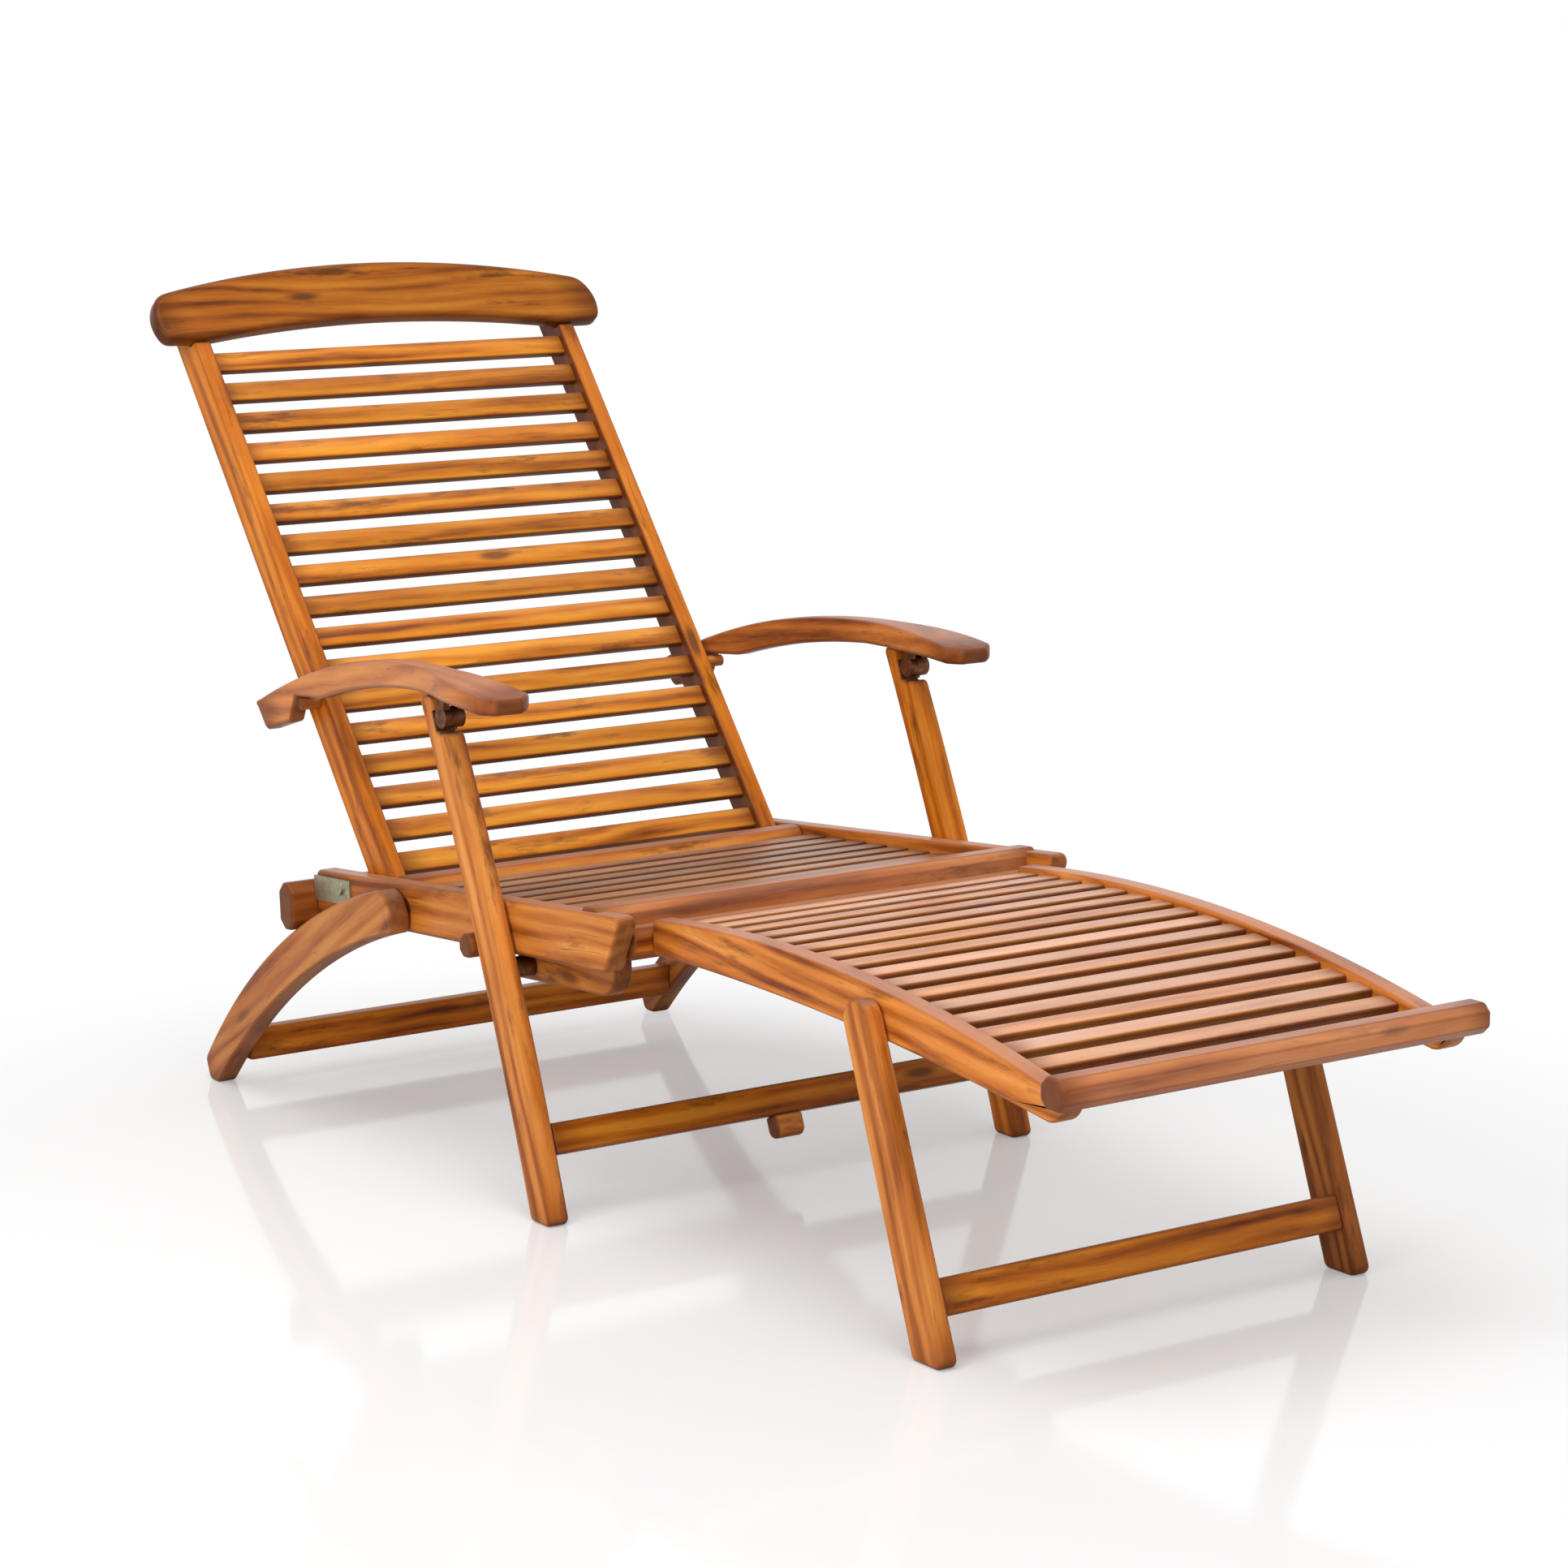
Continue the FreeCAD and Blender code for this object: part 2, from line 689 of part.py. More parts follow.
def make_rear_legs():
    outline = rear_leg_outline()
    bolt_at = (-S.rear_leg_top_back, -S.rear_leg_top_drop)
    bolts = []
    washers = []
    for side, sign in SIDES:
        low, high = across(sign, leg_in, leg_out)
        whole = plank(f"rear_leg_{side}_whole", floor, outline, low, high)
        low, high = across(sign, leg_in, leg_out - S.blind_wall)
        hole = rod(f"rear_leg_{side}_hole", seat, *bolt_at, pivot_hole, low, high)
        keep(cut(f"rear_leg_{side}", whole, hole))
        low, high = across(sign, rail_in, leg_out - S.blind_wall)
        bolts.append(rod(f"rear_leg_bolt_{side}", seat, *bolt_at, S.bolt_radius, low, high))
        low, high = across(sign, rail_out, leg_in)
        disc = rod(f"rear_leg_washer_{side}_disc", seat, *bolt_at, S.washer_radius, low, high)
        bore = rod(f"rear_leg_washer_{side}_bore", seat, *bolt_at, pivot_hole, low, high)
        washers.append(cut(f"rear_leg_washer_{side}", disc, bore))
    keep(group("rear_leg_bolts", bolts))
    keep(group("rear_leg_washers", washers))
    front = -S.rear_foot_back + S.rear_stretcher_set
    half = S.rear_stretcher_deep / 2
    keep(
        board(
            "rear_stretcher",
            floor,
            (front, front + S.rear_stretcher_thick),
            (-leg_in, leg_in),
            (S.rear_stretcher_height - half, S.rear_stretcher_height + half),
        )
    )


def make_corner_plates():
    plate_front = S.plate_long - S.rail_rear
    plate_base = -S.plate_drop - S.plate_deep
    outline = [
        (-S.rail_rear, plate_base),
        (plate_front, plate_base),
        (plate_front, -S.plate_drop),
        (-S.rail_rear, -S.plate_drop),
    ]
    bolt_at = (plate_bolt_x, -S.plate_bolt_drop)
    bolts = []
    for side, sign in SIDES:
        low, high = across(sign, rail_out, leg_in)
        keep(plank(f"corner_plate_{side}", seat, outline, low, high, [(*bolt_at, pivot_hole)]))
        low, high = across(sign, rail_in, leg_in)
        shank = rod(f"corner_bolt_{side}_shank", seat, *bolt_at, S.bolt_radius, low, high)
        low, high = across(sign, leg_in, leg_in + S.head_thick)
        head = rod(f"corner_bolt_{side}_head", seat, *bolt_at, S.head_radius, low, high)
        bolts.append(fuse(f"corner_bolt_{side}", [shank, head]))
    keep(group("corner_plate_bolts", bolts))


# Back


def make_back():
    round_foot = (stile_front + stile_back) / 2
    outline = [
        (stile_back, zero),
        Bend(round_foot, -S.stile_foot),
        (stile_front, zero),
        (stile_front, S.stile_top),
        (crest_back, S.stile_top),
        (crest_back, S.stile_top + S.crest_lap),
        (stile_back, S.stile_top + S.crest_lap),
    ]
    peg_x = stile_front - S.peg_inset
    for side, sign in SIDES:
        low, high = across(sign, stile_in, inner_out)
        keep(plank(f"stile_{side}", back, outline, low, high))
        low, high = across(sign, inner_out, inner_out + S.peg_reach)
        keep(rod(f"arm_peg_{side}", back, peg_x, S.peg_height, S.peg_radius, low, high))
    slat_front = stile_front - S.back_slat_recess
    slats = []
    for number in range(BACK_SLATS):
        low = S.back_slat_first + S.back_slat_pitch * number
        slats.append(
            board(
                f"back_slat_{number + 1}",
                back,
                (slat_front - S.back_slat_thick, slat_front),
                (-stile_in, stile_in),
                (low, low + S.back_slat_wide),
            )
        )
    keep(group("back_slats", slats))
    bar = plank("back_hinge_bar_whole", back, octagon(zero, zero, S.back_bar), -bar_half, bar_half)
    keep(drill_ends("back_hinge_bar", bar, back))
    make_crest()


def make_crest():
    shoulder = S.crest_half - S.crest_round
    foot = S.crest_half - S.crest_round / 2
    outline = [
        (-foot, S.stile_top),
        (-stile_in, S.stile_top),
        Bend(zero, S.stile_top + S.crest_hollow),
        (stile_in, S.stile_top),
        (foot, S.stile_top),
        Bend(S.crest_half, S.stile_top + S.crest_bulge),
        (shoulder, S.stile_top + S.crest_end),
        Bend(zero, crest_top),
        (-shoulder, S.stile_top + S.crest_end),
        Bend(-S.crest_half, S.stile_top + S.crest_bulge),
    ]
    keep(plank("crest_rail", back, outline, crest_back, crest_front, plane="YZ_Plane"))


def drill_ends(label, bar, frame):
    """A hinge bar with a bolt hole in each end, on its axis."""
    for side, sign in SIDES:
        low, high = across(sign, bar_half - S.pivot_bite - S.bar_end_clear, bar_half)
        hole = rod(f"{label}_{side}_hole", frame, zero, zero, pivot_hole, low, high)
        bar = cut(label if sign < 0 else f"{label}_{side}_drilled", bar, hole)
    return bar


# Front legs


def make_front_legs():
    """Legs that bow forwards: their ends lie further back than their pivots."""
    rebate_floor = S.arm_axis_along - S.knuckle_radius - S.rebate_clear
    arm_base = arm.z + S.arm_under - S.leg_top_clear
    front = leg_half - S.leg_bow
    rear = -leg_half - S.leg_bow
    outline = [
        (rear, level_cut(leg, rear, zero)),
        (front, level_cut(leg, front, zero)),
        Bend(leg_half, zero),
        (front, rebate_floor),
        (tenon_front, rebate_floor),
        (tenon_front, level_cut(leg, tenon_front, arm_base)),
        (rear, level_cut(leg, rear, arm_base)),
        Bend(-leg_half, zero),
    ]
    for side, sign in SIDES:
        low, high = across(sign, leg_in, leg_out)
        whole = plank(f"front_leg_{side}_whole", leg, outline, low, high)
        low, high = across(sign, leg_in, leg_out - S.blind_wall)
        hole = rod(f"front_leg_{side}_hole", leg, zero, zero, stud_hole, low, high)
        keep(cut(f"front_leg_{side}", whole, hole))
    along = level_cut(leg, zero, S.leg_stretcher_height)
    half = S.leg_stretcher_deep / 2
    face = leg_half - S.leg_bow / 2
    rear = face - S.leg_stretcher_thick
    keep(
        board(
            "front_stretcher",
            leg,
            (rear, face),
            (-leg_in, leg_in),
            (along - half, along + half),
        )
    )
    catch_top = along - half
    catch = [
        (rear, catch_top),
        (rear, catch_top - S.catch_straight),
        Bend((rear + face) / 2, catch_top - S.catch_deep),
        (face, catch_top - S.catch_straight),
        (face, catch_top),
    ]
    keep(plank("stretcher_catch", leg, catch, -S.catch_wide / 2, S.catch_wide / 2))


# Arms and their hinges


def make_arms():
    peg_x, peg_z = arm.local(*back.point(stile_front - S.peg_inset, S.peg_height))
    peg_x = derived("peg_from_arm_x", peg_x)
    peg_z = derived("peg_from_arm_z", peg_z)
    wall = peg_x - S.peg_radius - S.hook_clear
    ceiling = peg_z + S.peg_radius + S.hook_clear
    rear = peg_x - S.arm_past_peg
    tip_base = S.arm_under - S.arm_tip_drop
    profile = [
        (rear, ceiling - S.arm_rear_drop),
        Bend(-S.arm_crown_back, S.arm_under + S.arm_thick),
        (S.arm_front + S.side_clear, tip_base + S.arm_tip_thick),
        (S.arm_front + S.side_clear, tip_base),
        (S.arm_flat_front, S.arm_under),
        (-S.arm_flat_back, S.arm_under),
        Bend(-S.arm_dip_back, S.arm_dip_up),
        (peg_x + S.hook_mouth, ceiling + S.hook_rise),
        (wall, ceiling),
        (wall - S.hook_slope, ceiling - S.hook_lip),
        (rear + S.arm_thick, ceiling - S.hook_lip - S.arm_tip_thick),
    ]
    rear_in = inner_out + S.side_clear
    rear_out = rear_in + S.arm_rear_wide
    paddle_in = leg_in - S.arm_paddle_in
    paddle_out = leg_out + S.arm_paddle_out
    waist_in = leg_in - S.arm_waist_cover
    waist = -S.leg_wide * WAIST_BACK
    tip = S.arm_front - S.arm_paddle_out
    for side, sign in SIDES:
        plan = [
            (rear, rear_in * sign),
            Bend(waist + rear * SWEEP_IN, between(waist_in, rear_in, SWEEP_IN) * sign),
            (waist, waist_in * sign),
            Bend(S.arm_front * FLARE_AT, between(waist_in, paddle_in, FLARE_IN) * sign),
            (tip, paddle_in * sign),
            Bend(S.arm_front, (paddle_in + paddle_out) / 2 * sign),
            (tip, paddle_out * sign),
            Bend(S.arm_front * FLARE_AT, between(leg_out, paddle_out, FLARE_OUT) * sign),
            (waist, leg_out * sign),
            Bend(rear / 2, between(rear_out, leg_out, SWEEP_OUT) * sign),
            (rear, rear_out * sign),
        ]
        low, high = across(sign, inner_out, paddle_out + S.side_clear)
        side_view = plank(f"arm_{side}_side_view", arm, profile, low, high)
        bottom = ceiling - S.hook_lip - S.arm_thick
        top = S.arm_under + S.arm_thick * 2
        top_view = plank(f"arm_{side}_top_view", arm, plan, bottom, top, plane="XY_Plane")
        result = doc.addObject("Part::Common", f"arm_{side}")
        result.Base = side_view
        result.Tool = top_view
        keep(result)


def make_arm_hinges():
    third = (leg_out - leg_in) / 3
    leaf_top = S.arm_under - S.hinge_leaf
    web = S.hinge_web
    pin_hole = S.hinge_pin + S.pivot_clear
    axis_x = arm_axis_x
    axis_z = S.arm_axis_along
    for side, sign in SIDES:
        low, high = across(sign, leg_in + third, leg_out - third)
        knuckle = rod(f"leg_hinge_{side}_knuckle", leg, axis_x, axis_z, S.knuckle_radius, low, high)
        leaf_y = across(sign, leg_in, leg_out)
        leaf = board(
            f"leg_hinge_{side}_leaf",
            leg,
            (tenon_front, tenon_front + S.hinge_leaf),
            leaf_y,
            (axis_z - S.knuckle_radius, axis_z + S.knuckle_radius),
        )
        neck = board(
            f"leg_hinge_{side}_neck", leg, (tenon_front, axis_x), (low, high), (axis_z - web, axis_z + web)
        )
        solid = fuse(f"leg_hinge_{side}_solid", [knuckle, leaf, neck])
        bore = rod(f"leg_hinge_{side}_bore", leg, axis_x, axis_z, pin_hole, low, high)
        keep(cut(f"leg_hinge_{side}", solid, bore))
        leaf_x = (-web, S.arm_flat_front)
        pieces = [board(f"arm_hinge_{side}_leaf", arm, leaf_x, leaf_y, (leaf_top, S.arm_under))]
        ends = (
            (leg_in + S.knuckle_gap, leg_in + third - S.knuckle_gap),
            (leg_out - third + S.knuckle_gap, leg_out - S.knuckle_gap),
        )
        for number, (inner, outer) in enumerate(ends):
            y = across(sign, inner, outer)
            pieces.append(rod(f"arm_hinge_{side}_knuckle_{number}", arm, zero, zero, S.knuckle_radius, *y))
            pieces.append(board(f"arm_hinge_{side}_neck_{number}", arm, (-web, web), y, (zero, leaf_top)))
        solid = fuse(f"arm_hinge_{side}_solid", pieces)
        low, high = across(sign, leg_in + S.knuckle_gap, leg_out - S.knuckle_gap)
        bore = rod(f"arm_hinge_{side}_bore", arm, zero, zero, S.hinge_pin, low, high)
        keep(cut(f"arm_hinge_{side}", solid, bore))
        keep(rod(f"arm_hinge_pin_{side}", arm, zero, zero, S.hinge_pin, low, high))


# Footrest


def make_footrest():
    rear = S.rest_bar / 2
    step = S.rest_long - S.rest_front_bar_wide
    bar_middle = S.rest_long - S.rest_front_bar_wide / 2
    bar_base = -S.rest_front_bar_drop - S.rest_front_bar_deep / 2
    toe = bar_middle
    middle = (rear + step) / 2
    crown = (S.rest_rear_up - S.rest_front_drop) / 2 + S.rest_bow
    belly = -(S.rest_rear_down + S.rest_toe_drop) / 2 + S.rest_belly
    outline = [
        (rear, S.rest_rear_up),
        Bend(middle, crown),
        (step, -S.rest_front_drop),
        (step, bar_base),
        (toe, bar_base),
        Bend(toe - S.rest_toe_curl, (bar_base - S.rest_toe_drop * 2) / 3),
        (toe - S.rest_toe_back, -S.rest_toe_drop),
        Bend(middle, belly),
        (rear, -S.rest_rear_down),
    ]
    hole = (S.rest_leg_along, -S.rest_leg_drop, pivot_hole)
    for side, sign in SIDES:
        low, high = across(sign, rest_rail_in, rest_rail_out)
        keep(plank(f"footrest_rail_{side}", rest, outline, low, high, [hole]))
    bar = plank("footrest_hinge_bar_whole", rest, octagon(zero, zero, S.rest_bar), -bar_half, bar_half)
    keep(drill_ends("footrest_hinge_bar", bar, rest))
    front_half = rest_rail_out + S.rest_front_bar_proud
    front = chamfered(
        bar_middle,
        -S.rest_front_bar_drop,
        S.rest_front_bar_wide,
        S.rest_front_bar_deep,
        S.rest_front_bar_chamfer,
    )
    keep(plank("footrest_front_bar", rest, front, -front_half, front_half))
    make_footrest_slats(rear, step, middle, crown)


def make_footrest_slats(rear, step, middle, crown):
    """Slats that follow the rails' bowed upper edges, a little below them."""
    run = step - rear
    fall = S.rest_rear_up + S.rest_front_drop
    chord = root(run * run + fall * fall)
    radius = derived("rest_radius", (chord * chord / 4 + S.rest_bow * S.rest_bow) / (S.rest_bow * 2))
    centre_x = derived("rest_centre_x", middle - fall / chord * (radius - S.rest_bow))
    centre_z = derived("rest_centre_z", crown - S.rest_bow - run / chord * (radius - S.rest_bow))
    gap = derived("rest_slat_gap", (run - S.rest_slat_wide * REST_SLATS) / (REST_SLATS + 1))
    slats = []
    for number in range(REST_SLATS):
        x = rear + gap + (S.rest_slat_wide + gap) * number + S.rest_slat_wide / 2
        lean = (x - centre_x) / radius
        pitch = Size(math.degrees(math.asin(lean.value)), f"asin({lean.formula})")
        height = centre_z + root(radius * radius - (x - centre_x) * (x - centre_x))
        frame = Frame(f"rest_slat_{number + 1}", *rest.point(x, height), pitch)
        half = S.rest_slat_wide / 2
        top = -S.rest_slat_recess
        slats.append(
            board(
                f"footrest_slat_{number + 1}",
                frame,
                (-half, half),
                (-rest_rail_in, rest_rail_in),
                (top - S.rest_slat_thick, top),
            )
        )
    keep(group("footrest_slats", slats))


def make_footrest_legs():
    head = S.rest_leg_head / 2
    foot = S.rest_leg_foot / 2
    outline = [
        (-head, S.rest_leg_shoulder),
        Bend(zero, S.rest_leg_shoulder + head),
        (head, S.rest_leg_shoulder),
        (foot, level_cut(rest_leg, foot, zero)),
        (-foot, level_cut(rest_leg, -foot, zero)),
    ]
    bolts = []
    for side, sign in SIDES:
        low, high = across(sign, rest_leg_in, S.rest_leg_out)
        whole = plank(f"footrest_leg_{side}_whole", rest_leg, outline, low, high)
        low, high = across(sign, rest_leg_in, S.rest_leg_out - S.blind_wall)
        hole = rod(f"footrest_leg_{side}_hole", rest_leg, zero, zero, pivot_hole, low, high)
        keep(cut(f"footrest_leg_{side}", whole, hole))
        low, high = across(sign, rest_rail_in, S.rest_leg_out - S.blind_wall - S.pivot_clear)
        bolts.append(rod(f"footrest_leg_bolt_{side}", rest_leg, zero, zero, S.bolt_radius, low, high))
    keep(group("footrest_leg_bolts", bolts))
    along = level_cut(rest_leg, zero, S.rest_stretcher_height)
    half = S.rest_stretcher_deep / 2
    keep(
        board(
            "footrest_leg_stretcher",
            rest_leg,
            (head - S.rest_stretcher_thick, head),
            (-rest_leg_in, rest_leg_in),
            (along - half, along + half),
        )
    )


def check_document():
    """Stop if any object failed or any piece is empty or broken."""
    for item in doc.Objects:
        if "Invalid" in item.State or "Error" in item.State:
            raise RuntimeError(f"{item.Label} failed: {item.State}")
    for item in nodes:
        if item.Shape.isNull() or not item.Shape.isValid():
            raise RuntimeError(f"{item.Label} has no valid shape")


make_seat_rails()
make_seat_cross_pieces()
make_leg_hangers()
make_seat_bolts()
make_rear_legs()
make_corner_plates()
make_back()
make_front_legs()
make_arms()
make_arm_hinges()
make_footrest()
make_footrest_legs()
doc.recompute()
check_document()

os.makedirs("parts", exist_ok=True)
for node in nodes:
    node.Shape.exportStep(f"parts/{node.Label}.step")
print(len(nodes), "nodes written")
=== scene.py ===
# %% [markdown]
# A folding wooden sun lounger: a slatted seat frame on two pairs of legs, a reclined slatted back with a
# crest rail, two swept arms that hook over pegs on the back, and a slatted footrest on its own legs.
# Every wooden piece is then dressed: the outline of its solid is kept, and its edges are eased the way a
# maker rounds them before oiling.

# %% Load the frame
import json
import math
from itertools import cycle

import bpy
import numpy as np
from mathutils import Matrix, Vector


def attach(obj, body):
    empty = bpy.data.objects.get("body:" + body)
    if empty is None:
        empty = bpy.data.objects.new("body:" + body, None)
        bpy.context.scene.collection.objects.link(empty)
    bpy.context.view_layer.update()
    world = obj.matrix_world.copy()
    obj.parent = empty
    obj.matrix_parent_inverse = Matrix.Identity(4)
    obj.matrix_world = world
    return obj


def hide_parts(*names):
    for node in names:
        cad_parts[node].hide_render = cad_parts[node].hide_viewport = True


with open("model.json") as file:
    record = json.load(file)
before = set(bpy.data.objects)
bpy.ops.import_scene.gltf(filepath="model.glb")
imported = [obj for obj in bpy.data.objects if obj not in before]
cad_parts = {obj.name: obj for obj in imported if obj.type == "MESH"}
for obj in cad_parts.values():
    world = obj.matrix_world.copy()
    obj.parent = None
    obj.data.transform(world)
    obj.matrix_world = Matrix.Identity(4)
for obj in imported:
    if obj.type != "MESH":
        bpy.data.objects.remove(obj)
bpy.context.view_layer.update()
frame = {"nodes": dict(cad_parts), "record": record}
record = frame["record"]
body_of = {node: body for body, names in record["behaviour"]["bodies"].items() for node in names}
slot_of = {row["node"]: row["material_slot"] for row in record["subparts"]}

# %% [markdown]
# The camera stands where the photograph was taken: to the right of the footrest, a little above the arms,
# with a long lens. The direction, distance and lens were worked out from the vanishing points of the
# rails and slats. A camera looks along its own -Z, so the vector from the subject to the camera is turned
# into a rotation with to_track_quat.

# %% Camera
IMAGE_PX = 1932
FOCAL_PX = 5192.4
SENSOR_MM = 36.0
CAMERA_PLACE = (3.5248, -2.4361, 1.1970)
azimuth = math.radians(54.988)
elevation = math.radians(10.4514)

camera_data = bpy.data.cameras.new("photo_camera")
camera_data.sensor_width = SENSOR_MM
camera_data.lens = FOCAL_PX * SENSOR_MM / IMAGE_PX
camera = bpy.data.objects.new("photo_camera", camera_data)
bpy.context.scene.collection.objects.link(camera)
towards_camera = Vector((
    math.sin(azimuth) * math.cos(elevation),
    -math.cos(azimuth) * math.cos(elevation),
    math.sin(elevation),
))
camera.location = CAMERA_PLACE
camera.rotation_euler = (-towards_camera).to_track_quat("-Z", "Y").to_euler()
bpy.context.scene.camera = camera
print("lens mm:", round(camera_data.lens, 2))

# %% [markdown]
# Materials are made of nodes. A few small helpers keep the recipes readable. The first adds a node, sets its
# plain properties, and fills each input with a value or with a link from another node. The others wrap the
# nodes that the recipes use most.


# %% Node helpers
def add(tree, kind, inputs=(), **settings):
    """Add a node; inputs is a dict of socket name or number to a value or an output socket."""
    node = tree.nodes.new(kind)
    for key, value in settings.items():
        setattr(node, key, value)
    for key, value in dict(inputs).items():
        if isinstance(value, bpy.types.NodeSocket):
            tree.links.new(value, node.inputs[key])
        else:
            node.inputs[key].default_value = value
    return node


def new_material(name):
    """An empty node material: the material, its tree and its Principled shader."""
    material = bpy.data.materials.new(name)
    material.use_nodes = True
    return material, material.node_tree, material.node_tree.nodes["Principled BSDF"]


def ramp(tree, factor, places, colours):
    """A colour ramp with one colour at each place, from low to high."""
    node = add(tree, "ShaderNodeValToRGB", {0: factor})
    elements = node.color_ramp.elements
    while len(elements) < len(places):
        elements.new(0.5)
    for element, place, colour in zip(elements, places, colours):
        element.position = place
        element.color = (*colour, 1.0)
    return node.outputs[0]


def tinted(tree, colour, tint, factor):
    """Mix a plain tint into a colour by a factor."""
    return add(tree, "ShaderNodeMix", {0: factor, 6: colour, 7: (*tint, 1.0)}, data_type="RGBA").outputs[2]


def math_node(tree, operation, first, second=0.0):
    """One arithmetic step on two numbers."""
    return add(tree, "ShaderNodeMath", {0: first, 1: second}, operation=operation).outputs[0]


def multiply_add(tree, value, factor, plus):
    """The value times the factor, plus another value."""
    return add(tree, "ShaderNodeMath", {0: value, 1: factor, 2: plus}, operation="MULTIPLY_ADD").outputs[0]


def rise(tree, value, low, high, top=1.0):
    """A smooth step: 0 where the value is at low, rising to top where it is at high."""
    return add(
        tree, "ShaderNodeMapRange", {"Value": value, "From Min": low, "From Max": high, "To Max": top},
        interpolation_type="SMOOTHSTEP",
    ).outputs[0]


def stretched(tree, vector, scale):
    """Noise coordinates: scaled by one number along the first axis and another across it."""
    along, across = scale
    return add(tree, "ShaderNodeMapping", {"Vector": vector, "Scale": (along, across, across)}).outputs[0]


def noise(tree, vector, detail, roughness=0.5):
    """Fractal noise of unit size on coordinates that are already scaled."""
    settings = {"Vector": vector, "Scale": 1.0, "Detail": detail, "Roughness": roughness}
    return add(tree, "ShaderNodeTexNoise", settings)


def attribute(tree, name):
    """An attribute of the piece's own mesh."""
    return add(tree, "ShaderNodeAttribute", attribute_name=name)


print("node helpers ready")

# %% [markdown]
# The wood is an oiled hardwood. Its figure runs along each board: growth rings cut lengthwise give wide
# bands, fibres give fine streaks, and slow patches vary the colour. Each board carries its own coordinates
# in an attribute called grain, whose first number runs along the board, so that the figure follows every
# leg and slat and no two boards match. The noises are stretched along the grain: each scale below has two
# numbers, in ups and downs per metre, the first along the board and the second across it.

# %% Wood figure
SWAY_SCALE, SWAY_REACH = (3.2, 14.0), (0.0, 0.030, 0.030)
RING_SCALE, RING_SHARE = (0.10, 1.0), 0.15
STREAK_SCALE, STREAK_SHARE = (3.0, 62.0), 0.55
PATCH_SCALE, PATCH_SHARE = (4.0, 20.0), 0.55


def wood_figure(tree):
    """The grain coordinates swayed sideways, the streaks, the patches, and the sum of rings and both."""
    grain = attribute(tree, "grain").outputs["Vector"]
    sway = noise(tree, stretched(tree, grain, SWAY_SCALE), 2.0).outputs["Color"]
    swayed = add(
        tree, "ShaderNodeVectorMath", {0: sway, 1: SWAY_REACH, 2: grain}, operation="MULTIPLY_ADD"
    ).outputs[0]
    rings = add(
        tree, "ShaderNodeTexWave",
        {
            "Vector": stretched(tree, swayed, RING_SCALE),
            "Scale": 17.0, "Distortion": 2.6, "Detail": 3.0, "Detail Scale": 2.2,
        },
        wave_type="RINGS", rings_direction="X", wave_profile="SIN",
    ).outputs["Fac"]
    streaks = noise(tree, stretched(tree, swayed, STREAK_SCALE), 7.0, 0.68).outputs["Fac"]
    patches = noise(tree, stretched(tree, grain, PATCH_SCALE), 4.0, 0.6).outputs["Fac"]
    figure = math_node(tree, "MULTIPLY", rings, RING_SHARE)
    figure = multiply_add(tree, streaks, STREAK_SHARE, figure)
    return swayed, streaks, patches, multiply_add(tree, patches, PATCH_SHARE, figure)


print("figure shares:", RING_SHARE, STREAK_SHARE, PATCH_SHARE)

# %% [markdown]
# Three kinds of mark lie on top of the figure: knots, where a branch grew, dark stains from oil and damp,
# and fine cracks along the fibres. Knots come from the distance to scattered cells, which is smallest at
# the cells' centres; stains and cracks are the highest parts of two noises.

# %% Wood marks
KNOT_SCALE, KNOT_EDGE, KNOT_CORE, KNOT_DEPTH = (5.0, 17.0), 0.15, 0.05, 0.8
STAIN_SCALE, STAIN_FROM, STAIN_FULL, STAIN_DEPTH = (8.0, 38.0), 0.55, 0.72, 0.8
CRACK_SCALE, CRACK_FROM, CRACK_FULL, CRACK_DEPTH = (3.0, 300.0), 0.67, 0.75, 0.7
KNOT_BROWN = (0.085, 0.026, 0.009)
STAIN_BROWN = (0.085, 0.018, 0.003)


def marked(tree, colour, swayed):
    """The colour with knots, stains and cracks, and the noise that the stains come from."""
    cells = add(tree, "ShaderNodeTexVoronoi", {"Vector": stretched(tree, swayed, KNOT_SCALE), "Scale": 1.0})
    knot = rise(tree, cells.outputs["Distance"], KNOT_EDGE, KNOT_CORE)
    colour = tinted(tree, colour, KNOT_BROWN, math_node(tree, "MULTIPLY", knot, KNOT_DEPTH))
    grain = attribute(tree, "grain").outputs["Vector"]
    stains = noise(tree, stretched(tree, grain, STAIN_SCALE), 5.0, 0.66).outputs["Fac"]
    stained = rise(tree, stains, STAIN_FROM, STAIN_FULL, STAIN_DEPTH)
    fissures = noise(tree, stretched(tree, swayed, CRACK_SCALE), 3.0).outputs["Fac"]
    cracked = add(
        tree, "ShaderNodeMapRange",
        {"Value": fissures, "From Min": CRACK_FROM, "From Max": CRACK_FULL, "To Max": CRACK_DEPTH},
    ).outputs[0]
    return tinted(tree, colour, STAIN_BROWN, math_node(tree, "MAXIMUM", stained, cracked)), stains


print("knots per metre along and across:", KNOT_SCALE)

# %% [markdown]
# Years outdoors add the rest, and some painted light lies with it. Attributes of the mesh say where: sky
# where a surface faces up, bleaches and also takes a painted sheen, length for how near it is to the board's
# ends, which drink damp and darken, one for the hidden sides of slats and stiles and for undersides, where
# shade is painted in as a darker brown, worn for the edges, which hands and feet have soiled, and end_grain
# for the cut ends. One more, tone, makes a whole board lighter or darker, partly at random and partly as
# painted shade on far and shadowed pieces.

# %% Wood in use
# Up-facing faces take a pale colour that is partly sun bleaching and partly a painted sheen of reflected
# light; this is the least of it, before patches add more.
BLEACH_AND_SHEEN_LEAST = 0.25
END_FROM, END_FULL, END_DEPTH, END_RAGGED = 1.02, 1.24, 0.75, 0.35
